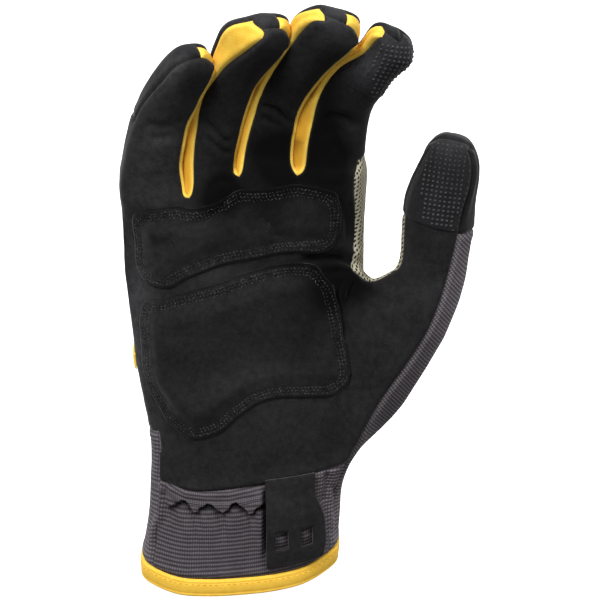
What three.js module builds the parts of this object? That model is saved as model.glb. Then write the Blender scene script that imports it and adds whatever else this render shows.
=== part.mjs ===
// Work glove for the right hand, seen palm first: fingers up +Z, palm towards -Y, thumb towards +X.
// Millimetres. The origin is the middle of the wrist opening.
// The glove is one surface worked out from the short tables below. Each sewn piece of it is a patch of
// that surface, given its own wall and kept a small gap from the next piece along every seam.
import * as THREE from 'three';

// Wall of each cloth
const LEATHER_WALL = 1.6;
const FABRIC_WALL = 1.5;
const MESH_WALL = 1.4;
const FOURCHETTE_WALL = 1.2;
const HEM_WALL = 2.6;
const HEM_PROUD = 0.5;

// Gap left along a seam and under a patch
const SEAM_GAP = 0.4;
const FOURCHETTE_DRAW = 0.15;
const PATCH_GAP = 0.6;

// Padded patches and grips
const PAD_EDGE = 0.9;
const PAD_THICK = 2.2;
const GRIP_THICK = 0.9;
const GRIP_INSET = 1.5;
const STRIPE_THICK = 0.8;
const TAB_THICK = 1.7;

// Middle of the palm, from which the patches are laid on
const PALM_AXIS = [2.0, 6.0];

// Each row of the cuff and palm, from the hem up
// z, left x, right x, front y, back y, tilt, dip, squareness
const PALM_ROWS = [
  [0.0, -41.0, 41.0, -27.0, 26.5, 0.08, 6.2, 2.7],
  [7.4, -40.9, 41.2, -27.0, 26.0, 0.075, 6.2, 2.7],
  [19.0, -39.2, 42.2, -26.5, 24.5, 0.12, 5.0, 2.6],
  [31.0, -37.6, 43.4, -26.0, 22.5, 0.13, 4.0, 2.5],
  [43.0, -36.9, 49.6, -24.5, 20.0, 0.15, 3.0, 2.5],
  [63.0, -37.2, 51.0, -23.5, 17.0, 0.08, 0.0, 2.6],
  [84.0, -41.6, 50.0, -22.5, 15.5, 0.0, 0.0, 2.7],
  [104.5, -43.8, 51.0, -21.5, 15.0, 0.0, 0.0, 2.8],
  [125.0, -46.1, 51.8, -20.5, 15.0, 0.0, 0.0, 2.8],
  [144.0, -46.7, 51.6, -19.0, 15.0, 0.0, 0.0, 2.8],
];

// Spread of the nine front columns at the cuff, as shares of the half width
const CUFF_COLUMNS = [-0.90, -0.66, -0.43, -0.20, 0.03, 0.26, 0.49, 0.72, 0.92];

// Rise of the leather's lower edge, by column, where it runs up at the two sides of the hand
const EDGE_ROW = 4;
const EDGE_RISE = { 0: 3.4, 1: 1.0, 7: 0.3, 8: 2.4, 20: 1.6, 21: 3.2 };

// Rows between which the thumb leaves the palm, and how far forward its front edge stands there
const THUMB_ROWS = [4, 8];
const THUMB_EDGE = [0.72, 0.86, 0.90, 0.86, 0.74];

// Height of the web between thumb and first finger over its row
const WEB_FRONT_RISE = 5.2;
const WEB_SIDE_RISE = -1.6;

// Rings of each finger from the crotch to the tip
// x, y, z, width, depth, roll in degrees, then how far the left and right seams have moved round
// to the side
const FINGERS = {
  pinky: [
    [-33.8, -1.5, 157.5, 27.6, 31.0, 0.0, 0.0, 0.0],
    [-34.6, -3.2, 169.5, 25.6, 22.4, 4.0, 0.0, 0.0],
    [-30.4, -8.6, 190.0, 23.0, 19.0, 14.0, 0.0, 0.0],
    [-26.0, -14.0, 200.5, 21.5, 18.5, 22.0, 0.0, 0.3],
    [-21.0, -19.5, 209.5, 19.5, 17.5, 30.0, 0.0, 0.0],
    [-15.8, -25.0, 217.0, 17.0, 15.5, 36.0, 0.0, 0.0],
  ],
  ring: [
    [-9.8, -1.5, 166.0, 22.0, 31.0, 0.0, 0.0, 0.0],
    [-10.6, -2.6, 176.0, 20.0, 22.5, 11.0, 0.3, 0.0],
    [-5.8, -7.8, 195.5, 20.7, 19.2, 14.0, 0.9, 0.0],
    [-2.1, -13.5, 208.0, 19.6, 19.0, 22.0, 0.65, 0.3],
    [3.5, -19.6, 218.5, 21.0, 19.2, 31.0, 0.25, 0.0],
    [11.8, -27.0, 227.8, 20.4, 16.4, 36.0, 0.0, -0.2],
  ],
  middle: [
    [12.2, -1.5, 171.5, 24.5, 31.0, 0.0, 0.0, 0.0],
    [12.2, -3.1, 180.5, 22.8, 22.5, 5.0, 0.1, 0.0],
    [16.6, -8.7, 198.5, 20.6, 19.0, 12.0, 0.4, 0.0],
    [23.3, -15.0, 211.0, 19.8, 18.5, 16.0, 0.7, 0.3],
    [31.4, -21.4, 222.2, 20.2, 18.6, 22.0, 0.7, 0.0],
    [38.8, -28.5, 230.7, 21.8, 16.6, 26.0, 0.5, -0.3],
  ],
  index: [
    [38.4, -1.5, 167.0, 28.0, 31.0, -8.0, 0.0, 0.0],
    [38.1, -3.2, 177.5, 27.0, 22.5, 5.0, 0.1, 0.0],
    [41.8, -9.1, 197.0, 24.8, 19.2, 12.0, 0.5, 0.0],
    [48.2, -15.0, 208.5, 23.0, 18.5, 14.0, 0.7, 0.0],
    [54.8, -21.0, 217.3, 20.6, 17.6, 18.0, 0.8, 0.0],
    [61.4, -27.0, 223.8, 20.0, 16.0, 22.0, 0.7, 0.0],
  ],
};
const FINGER_TIPS = { pinky: 5.4, ring: 6.0, middle: 6.0, index: 5.6 };

// Ten points round a finger, as shares of its width and depth
const FINGER_SECTION = [
  [-0.40, 0.40], [0.00, 0.50], [0.40, 0.40], [0.50, 0.14], [0.50, -0.16],
  [0.38, -0.42], [0.00, -0.50], [-0.38, -0.42], [-0.50, -0.16], [-0.50, 0.14],
];

// Rings of the thumb from the palm to the tip
// inner x, inner z, outer x, outer z, y, depth, roll in degrees, then how far the outer seam has
// moved to the side
const THUMB = [
  [56.0, 123.0, 62.6, 63.5, -6.0, 31.0, 6.0, 0.0],
  [61.5, 125.5, 78.2, 86.5, -8.6, 28.5, 14.0, 0.0],
  [65.6, 135.5, 91.2, 114.5, -11.0, 26.5, 20.0, 0.2],
  [66.2, 153.5, 96.6, 146.5, -14.0, 25.5, 22.0, 0.65],
  [68.3, 165.5, 97.4, 158.0, -16.0, 24.5, 22.0, 0.85],
  [72.5, 175.0, 98.4, 171.5, -18.0, 22.0, 20.0, 1.1],
  [76.0, 182.0, 95.2, 182.0, -20.0, 17.0, 18.0, 1.1],
];
const THUMB_TIP = 4.5;

// How far a finger's seam and the line behind it go round to the side: shares of its width and depth
const SEAM_SHIFT = [0.10, -0.26];
const SIDE_SHIFT = -0.15;
const THUMB_SEAM_SHIFT = [-0.12, -0.22];
const THUMB_SIDE_SHIFT = -0.14;

// Fourteen points round the thumb, as shares of its width and depth
const THUMB_SECTION = [
  [-0.34, 0.42], [-0.16, 0.49], [0.03, 0.50], [0.22, 0.47], [0.44, 0.30], [0.50, 0.14], [0.50, -0.16],
  [0.40, -0.39], [0.21, -0.47], [0.00, -0.50], [-0.21, -0.47], [-0.40, -0.39], [-0.50, -0.16],
  [-0.50, 0.14],
];

// Points that two fingers share at their crotch, and how far the crotch rises there behind its front edge
const CROTCH = [[2, 0, 0.0], [3, 9, 4.0], [4, 8, 6.0], [5, 7, 3.0]];

// The first ring that the fingertip caps cover, on the fingers and on the thumb
const CAP_RING = 2;
const THUMB_CAP_RING = 4;

// Dents and folds of the palm side
// x, z, reach across, reach up, depth
const DENTS = [
  [8.0, 104.0, 24.0, 24.0, 1.8],
  [38.0, 133.0, 9.0, 4.5, 1.6],
  [10.0, 131.0, 16.0, 4.5, 0.9],
  [-28.0, 122.0, 12.0, 4.5, 0.9],
  [45.0, 113.0, 5.0, 13.0, 1.5],
  [-31.0, 186.0, 9.0, 3.8, 0.8],
  [-9.0, 189.0, 9.0, 3.8, 1.0],
  [15.0, 193.0, 9.0, 3.8, 1.0],
  [42.0, 191.0, 11.0, 3.8, 1.3],
];

// Puffs of the gathered cuff: first and last x, middle z, reach up, pitch and height
const GATHERS = { from: -32.0, to: 9.0, z: 30.0, reach: 8.0, pitch: 9.6, height: 0.9 };

// Padded patches, laid round the palm: degrees round from straight ahead, low z, high z
const UPPER_PAD = [
  [-70.0, 133.0, 148.0],
  [-67.0, 127.5, 153.5],
  [-60.0, 123.4, 156.4],
  [-52.0, 122.7, 156.0],
  [-43.0, 126.5, 155.6],
  [-28.0, 130.6, 157.6],
  [-15.0, 133.0, 160.5],
  [-4.0, 134.0, 163.0],
  [15.0, 135.5, 163.8],
  [33.0, 137.3, 164.6],
  [47.0, 137.7, 165.2],
  [55.0, 137.6, 164.6],
  [59.5, 138.5, 163.0],
  [62.5, 144.0, 157.0],
];
const LOWER_PAD = [
  [-67.0, 88.0, 108.0],
  [-64.0, 78.0, 116.0],
  [-60.0, 73.0, 118.0],
  [-54.0, 66.2, 118.6],
  [-45.0, 61.9, 121.0],
  [-36.0, 59.5, 122.8],
  [-27.0, 60.7, 124.3],
  [-16.0, 63.6, 126.0],
  [-3.0, 69.6, 128.4],
  [15.0, 75.7, 130.8],
  [27.0, 77.4, 132.4],
  [41.0, 77.5, 133.6],
  [51.0, 78.1, 132.6],
  [56.5, 81.0, 126.0],
  [60.0, 87.0, 108.0],
];
const PAD_CELLS = { upper: [16, 5], lower: [15, 6], stripe: [6, 1] };

// Stripe on the back of the little finger side: degrees, low z, high z
const STRIPE = [
  [-87.4, 84.9, 92.9],
  [-94.0, 85.3, 93.4],
  [-101.0, 86.0, 94.2],
  [-109.0, 87.0, 95.2],
];

// Pull tab: height at its left edge, left x, right x and how far it stands off the cuff
const TAB_ROWS = [
  [43.5, 11.1, 31.0, 0.6],
  [38.5, 11.2, 30.6, 1.0],
  [32.0, 11.5, 31.0, 2.4],
  [26.5, 11.4, 32.4, 2.9],
  [21.6, 11.4, 33.8, 2.7],
  [13.4, 11.4, 34.2, 2.1],
  [9.5, 11.4, 34.2, 1.4],
  [6.2, 11.6, 33.6, 0.9],
];
const TAB_TILT = 0.13;
const TAB_COLUMNS = [0.0, 0.16, 0.40, 0.62, 0.78, 1.0];
const TAB_WINDOWS = [[4, 1], [4, 3]];

// Small vector helpers on plain arrays
const add = (a, b, s = 1) => [a[0] + b[0] * s, a[1] + b[1] * s, a[2] + b[2] * s];
const scale = (a, s) => [a[0] * s, a[1] * s, a[2] * s];
const dot = (a, b) => a[0] * b[0] + a[1] * b[1] + a[2] * b[2];
const cross = (a, b) => [a[1] * b[2] - a[2] * b[1], a[2] * b[0] - a[0] * b[2], a[0] * b[1] - a[1] * b[0]];
const unit = (a) => scale(a, 1 / Math.hypot(a[0], a[1], a[2]));
const radians = (degrees) => (degrees * Math.PI) / 180;

// Cage of the glove

// The ten points round a finger with its left and right seams moved to the side
function fingerSection(left, right) {
  const section = FINGER_SECTION.map((point) => [...point]);
  for (const [seam, side, way, share] of [[0, 9, -1, left], [2, 3, 1, right]]) {
    section[seam][0] += way * SEAM_SHIFT[0] * share;
    section[seam][1] += SEAM_SHIFT[1] * share;
    section[side][1] += SIDE_SHIFT * share;
  }
  return section;
}

function fingerRings(rows, tip) {
  const centres = rows.map((r) => r.slice(0, 3));
  const last = rows.length - 1;
  let forward;
  let front;
  const rings = rows.map((r, k) => {
    forward = unit(add(centres[Math.min(k + 1, last)], centres[Math.max(k - 1, 0)], -1));
    if (k === 0) forward = unit([forward[0] * 0.3, forward[1] * 0.3, 1]);
    const roll = radians(r[5]);
    front = [Math.sin(roll), -Math.cos(roll), 0];
    front = unit(add(front, forward, -dot(front, forward)));
    const across = cross(forward, front);
    return fingerSection(r[6], r[7])
      .map(([a, b]) => add(add(centres[k], across, a * r[3]), front, b * r[4]));
  });
  const depth = rows[last][4];
  const end = [0.19, -0.19].map((b) => add(add(centres[last], forward, tip), front, b * depth));
  return { rings, end };
}

function thumbRings() {
  const centres = THUMB.map((r) => [(r[0] + r[2]) / 2, r[4], (r[1] + r[3]) / 2]);
  const last = THUMB.length - 1;
  let frame;
  const rings = THUMB.map((r, k) => {
    const span = [r[0] - r[2], 0, r[1] - r[3]];
    const width = Math.hypot(span[0], span[2]);
    const flat = unit(span);
    let forward = add(centres[Math.min(k + 1, last)], centres[Math.max(k - 1, 0)], -1);
    forward = unit(add(forward, flat, -dot(forward, flat)));
    let facing = cross(flat, forward);
    if (facing[1] > 0) facing = scale(facing, -1);
    const roll = radians(r[6]);
    const across = add(scale(flat, Math.cos(roll)), facing, -Math.sin(roll));
    const front = add(scale(facing, Math.cos(roll)), flat, Math.sin(roll));
    const wide = width / (Math.cos(roll) + (0.62 * r[5] * Math.sin(roll)) / width);
    frame = { centre: centres[k], across, front, forward, wide, depth: r[5] };
    const section = THUMB_SECTION.map((point) => [...point]);
    section[0][0] += THUMB_SEAM_SHIFT[0] * r[7];
    section[0][1] += THUMB_SEAM_SHIFT[1] * r[7];
    section[13][1] += THUMB_SIDE_SHIFT * r[7];
    return section.map(([a, b]) => add(add(centres[k], across, a * wide), front, b * r[5]));
  });
  for (const k of [0, 1]) {
    rings[k][4][2] += WEB_FRONT_RISE;
    rings[k][5][2] += WEB_SIDE_RISE + 0.5;
  }
  const end = [0.19, -0.19].map((b) => [[-0.2, 0.9], [0.03, 1.0], [0.24, 0.9]].map(([a, q]) => {
    let p = add(frame.centre, frame.forward, THUMB_TIP * q);
    p = add(p, frame.across, a * frame.wide);
    return add(p, frame.front, b * frame.depth);
  }));
  return { rings, end };
}

// Which sewn piece a patch of the palm or cuff belongs to
function palmPiece(row, column) {
  if (row === 0) return 'hem_binding';
  if (row < THUMB_ROWS[0]) return column < 8 ? 'cuff_front' : 'back_fabric';
  if (column < 8) return 'palm_leather';
  if (column <= 10) return 'web_mesh';
  if (column >= 20 && row > THUMB_ROWS[0]) return 'palm_leather';
  return 'back_fabric';
}

const SIDE_PIECES = {
  pinky: [null, 'fourchette_pinky_ring'],
  ring: ['fourchette_pinky_ring', 'fourchette_ring_middle'],
  middle: ['fourchette_ring_middle', 'fourchette_middle_index'],
  index: ['fourchette_middle_index', null],
};

function fingerPiece(name, ring, column) {
  const capped = ring >= CAP_RING;
  const behind = capped ? `cap_${name}` : 'back_fabric';
  const [ulnar, radial] = SIDE_PIECES[name];
  if (column < 2) return 'palm_leather';
  if (column === 5 || column === 6) return behind;
  if (column < 5) {
    if (radial) return radial;
    if (ring === 0) return 'web_mesh';
    return column === 4 ? behind : 'palm_leather';
  }
  if (column === 7 && (capped || !ulnar)) return behind;
  if (ulnar) return ulnar;
  return column === 8 && capped ? behind : 'palm_leather';
}

function thumbPiece(ring, column) {
  const capped = ring >= THUMB_CAP_RING;
  if (column < 4) return 'palm_leather';
  if (column === 4) return capped ? 'palm_leather' : 'web_mesh';
  if (column < 7) return capped ? 'cap_thumb' : 'web_mesh';
  return capped ? 'cap_thumb' : 'back_fabric';
}

function buildCage() {
  const points = [];
  const faces = [];
  const put = (p) => points.push(p) - 1;
  const order = Object.keys(FINGERS);
  const fingers = {};
  const base = {};
  for (const name of order) {
    fingers[name] = fingerRings(FINGERS[name], FINGER_TIPS[name]);
    base[name] = new Array(10).fill(-1);
  }
  // Neighbouring fingers share the four points of their crotch
  for (let k = 0; k < 3; k += 1) {
    const [left, right] = [order[k], order[k + 1]];
    for (const [i, j, rise] of CROTCH) {
      const middle = scale(add(fingers[left].rings[0][i], fingers[right].rings[0][j]), 0.5);
      const p = put(add(middle, [0, 0, 1], rise));
      base[left][i] = p;
      base[right][j] = p;
    }
  }
  for (const name of order) {
    base[name] = base[name].map((p, i) => (p < 0 ? put(fingers[name].rings[0][i]) : p));
  }
  const { pinky, ring, middle, index } = base;
  const top = [
    pinky[0], pinky[1], pinky[2], ring[1], ring[2], middle[1], middle[2], index[1], index[2],
    index[3], index[4], index[5], index[6], index[7], middle[6], middle[7], ring[6], ring[7],
    pinky[6], pinky[7], pinky[8], pinky[9],
  ];
  const crown = PALM_ROWS[PALM_ROWS.length - 1];
  const topColumns = top.slice(0, 9)
    .map((p) => (2 * points[p][0] - crown[1] - crown[2]) / (crown[2] - crown[1]));
  const rows = PALM_ROWS.map(([z, left, right, front, back, tilt, dip, square], i) => {
    const blend = Math.min(1, Math.max(0, (z - 31) / 108));
    const middleX = (left + right) / 2;
    const half = (right - left) / 2;
    const shape = (u) => (1 - Math.abs(u) ** square) ** (1 / square);
    const columns = CUFF_COLUMNS.map((u, j) => u + (topColumns[j] - u) * blend);
    const edge = THUMB_EDGE[i - THUMB_ROWS[0]];
    const row = [];
    const at = (x, y, rise = 0) => {
      const drop = y < 0 ? dip * (y / front) ** 2 : 0;
      const edgeRise = i === EDGE_ROW ? EDGE_RISE[row.length] || 0 : 0;
      row.push(put([x, y, z + tilt * x - drop + rise + edgeRise]));
    };
    const web = i === THUMB_ROWS[1];
    columns.forEach((u, j) => {
      let y = front * shape(u);
      if (edge && j === 8) y = front * edge;
      if (edge && j === 7) y = Math.min(y, front * (edge + 0.08));
      at(middleX + half * u, y, web && j === 8 ? WEB_FRONT_RISE : 0);
    });
    at(right, front * 0.28, web ? WEB_SIDE_RISE : 0);
    at(right, back * 0.3);
    for (const u of [...columns].reverse()) at(middleX + half * u, back * shape(u));
    at(left, back * 0.3);
    at(left, front * 0.28);
    return row;
  });
  rows.push(top);
  for (let i = 0; i < rows.length - 1; i += 1) {
    for (let j = 0; j < 22; j += 1) {
      const inThumb = i >= THUMB_ROWS[0] && i < THUMB_ROWS[1] && j >= 8 && j <= 10;
      if (inThumb) continue;
      const k = (j + 1) % 22;
      faces.push({ at: [rows[i][j], rows[i][k], rows[i + 1][k], rows[i + 1][j]], piece: palmPiece(i, j) });
    }
  }
  for (const name of order) {
    let lower = base[name];
    fingers[name].rings.slice(1).forEach((points10, k) => {
      const upper = points10.map(put);
      for (let c = 0; c < 10; c += 1) {
        const d = (c + 1) % 10;
        const piece = fingerPiece(name, k, c);
        faces.push({ at: [lower[c], lower[d], upper[d], upper[c]], piece, part: name, ring: k, column: c });
      }
      lower = upper;
    });
    const [e0, e1] = fingers[name].end.map(put);
    const [fl, fm, fr, s1, s2, br, bm, bl, s3, s4] = lower;
    const cap = `cap_${name}`;
    const tips = [
      [[fl, fm, e0, s4], 'palm_leather', 0], [[fm, fr, s1, e0], 'palm_leather', 1],
      [[s4, e0, e1, s3], cap, 8], [[e0, s1, s2, e1], SIDE_PIECES[name][1] || 'palm_leather', 3],
      [[s3, e1, bm, bl], cap, 6], [[e1, s2, br, bm], cap, 5],
    ];
    for (const [at, piece, column] of tips) faces.push({ at, piece, part: name, ring: 99, column });
  }
  const thumb = thumbRings();
  const [low, high] = THUMB_ROWS;
  let lower = [];
  for (let i = low; i <= high; i += 1) lower.push(rows[i][8]);
  lower.push(rows[high][9], rows[high][10]);
  for (let i = high; i >= low; i -= 1) lower.push(rows[i][11]);
  lower.push(rows[low][10], rows[low][9]);
  thumb.rings.forEach((points14, k) => {
    const upper = points14.map(put);
    for (let c = 0; c < 14; c += 1) {
      const d = (c + 1) % 14;
      const piece = thumbPiece(k, c);
      const at = [lower[c], upper[c], upper[d], lower[d]];
      faces.push({ at, piece, part: 'thumb', ring: k, column: c });
    }
    lower = upper;
  });
  const grid = [
    lower.slice(0, 5),
    [lower[13], ...thumb.end[0].map(put), lower[5]],
    [lower[12], ...thumb.end[1].map(put), lower[6]],
    [lower[11], lower[10], lower[9], lower[8], lower[7]],
  ];
  for (let a = 0; a < 3; a += 1) {
    for (let b = 0; b < 4; b += 1) {
      const at = [grid[a][b], grid[a + 1][b], grid[a + 1][b + 1], grid[a][b + 1]];
      const piece = a === 0 ? 'palm_leather' : 'cap_thumb';
      faces.push({ at, piece, part: 'thumb', ring: 99, column: a ? 9 : b });
    }
  }
  return dropUnused(points, faces);
}

function dropUnused(points, faces) {
  const fresh = new Map();
  const kept = [];
  for (const face of faces) {
    face.at = face.at.map((p) => {
      if (!fresh.has(p)) fresh.set(p, kept.push(points[p]) - 1);
      return fresh.get(p);
    });
  }
  return { points: kept, faces };
}

// Smooth surface through the cage points

function neighbours(count, faces) {
  const around = Array.from({ length: count }, () => ({ near: new Set(), corners: [], border: [] }));
  const edges = new Map();
  faces.forEach((face, f) => {
    face.at.forEach((i, a) => {
      const j = face.at[(a + 1) % 4];
      around[i].near.add(j);
      around[j].near.add(i);
      around[i].corners.push([f, a]);
      const key = i < j ? `${i},${j}` : `${j},${i}`;
      if (!edges.has(key)) edges.set(key, { ends: [i, j], faces: [] });
      edges.get(key).faces.push(f);
    });
  });
  for (const { ends: [i, j], faces: used } of edges.values()) {
    if (used.length === 1) {
      around[i].border.push(j);
      around[j].border.push(i);
    }
  }
  return { around, edges };
}

const sum = (list) => list.reduce((total, p) => add(total, p), [0, 0, 0]);

function limitPoints(points, faces, { around }) {
  return points.map((p, v) => {
    const { near, corners, border } = around[v];
    if (border.length) return scale(add(sum(border.map((j) => points[j])), p, 4), 1 / 6);
    const n = near.size;
    const sides = sum([...near].map((j) => points[j]));
    const opposite = sum(corners.map(([f, a]) => points[faces[f].at[(a + 2) % 4]]));
    return scale(add(add(scale(p, n * n), sides, 4), opposite), 1 / (n * (n + 5)));
  });
}

function fitCage({ points, faces }) {
  const near = neighbours(points.length, faces);
  let cage = points;
  for (let round = 0; round < 10; round += 1) {
    const limit = limitPoints(cage, faces, near);
    cage = cage.map((p, v) => add(p, add(points[v], limit[v], -1)));
  }
  return { points: cage, faces };
}

function subdivide({ points, faces }) {
  const { around, edges } = neighbours(points.length, faces);
  const middles = faces.map((face) => scale(sum(face.at.map((i) => points[i])), 0.25));
  const edgeIndex = new Map();
  const edgePoints = [];
  for (const [key, { ends, faces: used }] of edges) {
    const both = add(points[ends[0]], points[ends[1]]);
    const inner = used.length === 2;
    const p = inner ? scale(add(both, add(middles[used[0]], middles[used[1]])), 0.25) : scale(both, 0.5);
    edgeIndex.set(key, points.length + edgePoints.push(p) - 1);
  }
  const corners = points.map((p, v) => {
    const { near, corners: used, border } = around[v];
    if (border.length) return scale(add(sum(border.map((j) => points[j])), p, 6), 1 / 8);
    const n = near.size;
    const face = scale(sum(used.map(([f]) => middles[f])), 1 / n);
    const edge = scale(sum([...near].map((j) => scale(add(p, points[j]), 0.5))), 2 / n);
    return scale(add(add(face, edge), p, n - 3), 1 / n);
  });
  const firstMiddle = points.length + edgePoints.length;
  const keyOf = (i, j) => (i < j ? `${i},${j}` : `${j},${i}`);
  const finer = [];
  faces.forEach((face, f) => {
    face.at.forEach((i, a) => {
      const after = edgeIndex.get(keyOf(i, face.at[(a + 1) % 4]));
      const before = edgeIndex.get(keyOf(i, face.at[(a + 3) % 4]));
      finer.push({ ...face, at: [i, after, firstMiddle + f, before] });
    });
  });
  return { points: [...corners, ...edgePoints, ...middles], faces: finer };
}

function pointNormals(points, faces) {
  const normals = points.map(() => [0, 0, 0]);
  for (const { at } of faces) {
    const [a, b, c, d] = at.map((i) => points[i]);
    const n = cross(add(c, a, -1), add(d, b, -1));
    for (const i of at) normals[i] = add(normals[i], n);
  }
  return normals.map(unit);
}

// Dents, folds and gathers, pressed in along the normals
function relief([x, , z], normal) {
  let move = 0;
  if (normal[1] > -0.3) return move;
  for (const [dx, dz, across, up, depth] of DENTS) {
    move -= depth * Math.exp(-(((x - dx) / across) ** 2) - (((z - dz) / up) ** 2));
  }
  const g = GATHERS;
  if (x > g.from && x < g.to) {
    const wave = Math.cos((2 * Math.PI * (x - g.from)) / g.pitch);
    move -= g.height * wave * Math.exp(-(((z - g.z) / g.reach) ** 2));
  }
  return move;
}

function gloveSurface() {
  const mesh = subdivide(fitCage(buildCage()));
  const near = neighbours(mesh.points.length, mesh.faces);
  const smooth = limitPoints(mesh.points, mesh.faces, near);
  const before = pointNormals(smooth, mesh.faces);
  const points = smooth.map((p, v) => add(p, before[v], relief(p, before[v])));
  return { points, faces: mesh.faces, normals: pointNormals(points, mesh.faces) };
}

// Solids

// Closed solid from matching outer and inner points of a sheet of four-sided faces
function thickSheet(quads, outer, inner) {
  const index = new Map();
  const used = [];
  for (const quad of quads) {
    for (const v of quad) {
      if (!index.has(v)) index.set(v, used.push(v) - 1);
    }
  }
  const n = used.length;
  const positions = [...used.map((v) => outer.get(v)), ...used.map((v) => inner.get(v))];
  const triangles = [];
  const seen = new Set();
  for (const quad of quads) quad.forEach((v, a) => seen.add(`${v},${quad[(a + 1) % 4]}`));
  for (const quad of quads) {
    const [a, b, c, d] = quad.map((v) => index.get(v));
    triangles.push(a, b, c, a, c, d, a + n, c + n, b + n, a + n, d + n, c + n);
    quad.forEach((v, k) => {
      const w = quad[(k + 1) % 4];
      if (seen.has(`${w},${v}`)) return;
      const [i, j] = [index.get(v), index.get(w)];
      triangles.push(i + n, j + n, j, i + n, j, i);
    });
  }
  const geometry = new THREE.BufferGeometry();
  geometry.setAttribute('position', new THREE.Float32BufferAttribute(positions.flat(), 3));
  geometry.setIndex(triangles);
  return geometry;
}

// Sewn piece: its faces of the surface, drawn in at the seams and given a wall
function sewnPiece(surface, chosen, { out, into, inset }) {
  const quads = surface.faces.filter(chosen).map((face) => face.at);
  const directed = new Set();
  for (const quad of quads) quad.forEach((v, a) => directed.add(`${v},${quad[(a + 1) % 4]}`));
  const pull = new Map();
  for (const quad of quads) {
    quad.forEach((v, a) => {
      const w = quad[(a + 1) % 4];
      if (directed.has(`${w},${v}`)) return;
      const along = add(surface.points[w], surface.points[v], -1);
      for (const p of [v, w]) {
        const inward = unit(cross(surface.normals[p], along));
        pull.set(p, [...(pull.get(p) || []), inward]);
      }
    });
  }
  const outer = new Map();
  const inner = new Map();
  for (const v of new Set(quads.flat())) {
    let p = surface.points[v];
    const inward = pull.get(v);
    if (inward) {
      const both = inward.length > 1 ? dot(inward[0], inward[1]) : 1;
      const total = sum(inward);
      p = add(p, total, inset / (inward.length > 1 ? Math.max(0.3, 1 + both) : 1));
    }
    outer.set(v, add(p, surface.normals[v], out));
    inner.set(v, add(p, surface.normals[v], -into));
  }
  return thickSheet(quads, outer, inner);
}

// Ray on to the skin of the glove, giving the point met and the outward normal there
function makeCaster(surface) {
  const geometry = new THREE.BufferGeometry();
  geometry.setAttribute('position', new THREE.Float32BufferAttribute(surface.points.flat(), 3));
  geometry.setAttribute('normal', new THREE.Float32BufferAttribute(surface.normals.flat(), 3));
  geometry.setIndex(surface.faces.flatMap(({ at: [a, b, c, d] }) => [a, b, c, a, c, d]));
  const skin = new THREE.Mesh(geometry, new THREE.MeshBasicMaterial({ side: THREE.DoubleSide }));
  const caster = new THREE.Raycaster();
  return (from, way, fromInside) => {
    caster.set(new THREE.Vector3(...from), new THREE.Vector3(...way));
    const hit = caster.intersectObject(skin)[0];
    const towards = unit(hit.normal.toArray());
    return { point: hit.point.toArray(), normal: scale(towards, fromInside ? -1 : 1) };
  };
}

// The same table read off at even steps
function evenSteps(table, count) {
  const first = table[0][0];
  const last = table[table.length - 1][0];
  const way = Math.sign(last - first);
  return Array.from({ length: count }, (_, n) => {
    const degrees = first + ((last - first) * n) / (count - 1);
    const i = Math.max(1, table.findIndex((row) => (row[0] - degrees) * way >= -1e-9));
    const [a, b] = [table[i - 1], table[i]];
    const share = (degrees - a[0]) / (b[0] - a[0]);
    return [degrees, a[1] + (b[1] - a[1]) * share, a[2] + (b[2] - a[2]) * share];
  });
}

// Patch laid round the palm from a table of degrees, low z and high z
function laidPatch(cast, rows, cellsAcross, cellsUp, edge, thick) {
  const table = evenSteps(rows, cellsAcross + 1);
  const forwards = table[1][0] > table[0][0];
  const reach = (i, j) => {
    const a = Math.min(Math.floor(i), cellsAcross - 1);
    const [from, to] = [table[a], table[a + 1]];
    const [degrees, low, high] = from.map((value, k) => value + (to[k] - value) * (i - a));
    const way = [Math.sin(radians(degrees)), -Math.cos(radians(degrees)), 0];
    const start = [PALM_AXIS[0], PALM_AXIS[1], low + ((high - low) * j) / cellsUp];
    const hit = cast(start, way, true);
    return { ...hit, distance: Math.hypot(hit.point[0] - start[0], hit.point[1] - start[1]) };
  };
  const grid = table.map((_, i) => (
    Array.from({ length: cellsUp + 1 }, (__, j) => ({ ...reach(i, j), lift: 0 }))
  ));
  // Where the skin bulges between the points of the patch, the patch is lifted clear of it
  for (let i = 0; i < cellsAcross; i += 1) {
    for (let j = 0; j < cellsUp; j += 1) {
      const corners = [grid[i][j], grid[i + 1][j], grid[i][j + 1], grid[i + 1][j + 1]];
      const flat = corners.reduce((total, c) => total + c.distance, 0) / 4;
      const bulge = Math.max(0, reach(i + 0.5, j + 0.5).distance - flat);
      for (const c of corners) c.lift = Math.max(c.lift, bulge);
    }
  }
  const outer = new Map();
  const inner = new Map();
  const quads = [];
  const id = (i, j) => i * (cellsUp + 1) + j;
  grid.forEach((line, i) => line.forEach(({ point, normal, lift }, j) => {
    const rim = i === 0 || j === 0 || i === cellsAcross || j === cellsUp;
    inner.set(id(i, j), add(point, normal, PATCH_GAP + lift));
    outer.set(id(i, j), add(point, normal, PATCH_GAP + lift + (rim ? edge : thick)));
    if (i && j) {
      const quad = [id(i - 1, j - 1), id(i, j - 1), id(i, j), id(i - 1, j)];
      quads.push(forwards ? quad : quad.reverse());
    }
  }));
  return thickSheet(quads, outer, inner);
}

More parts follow.
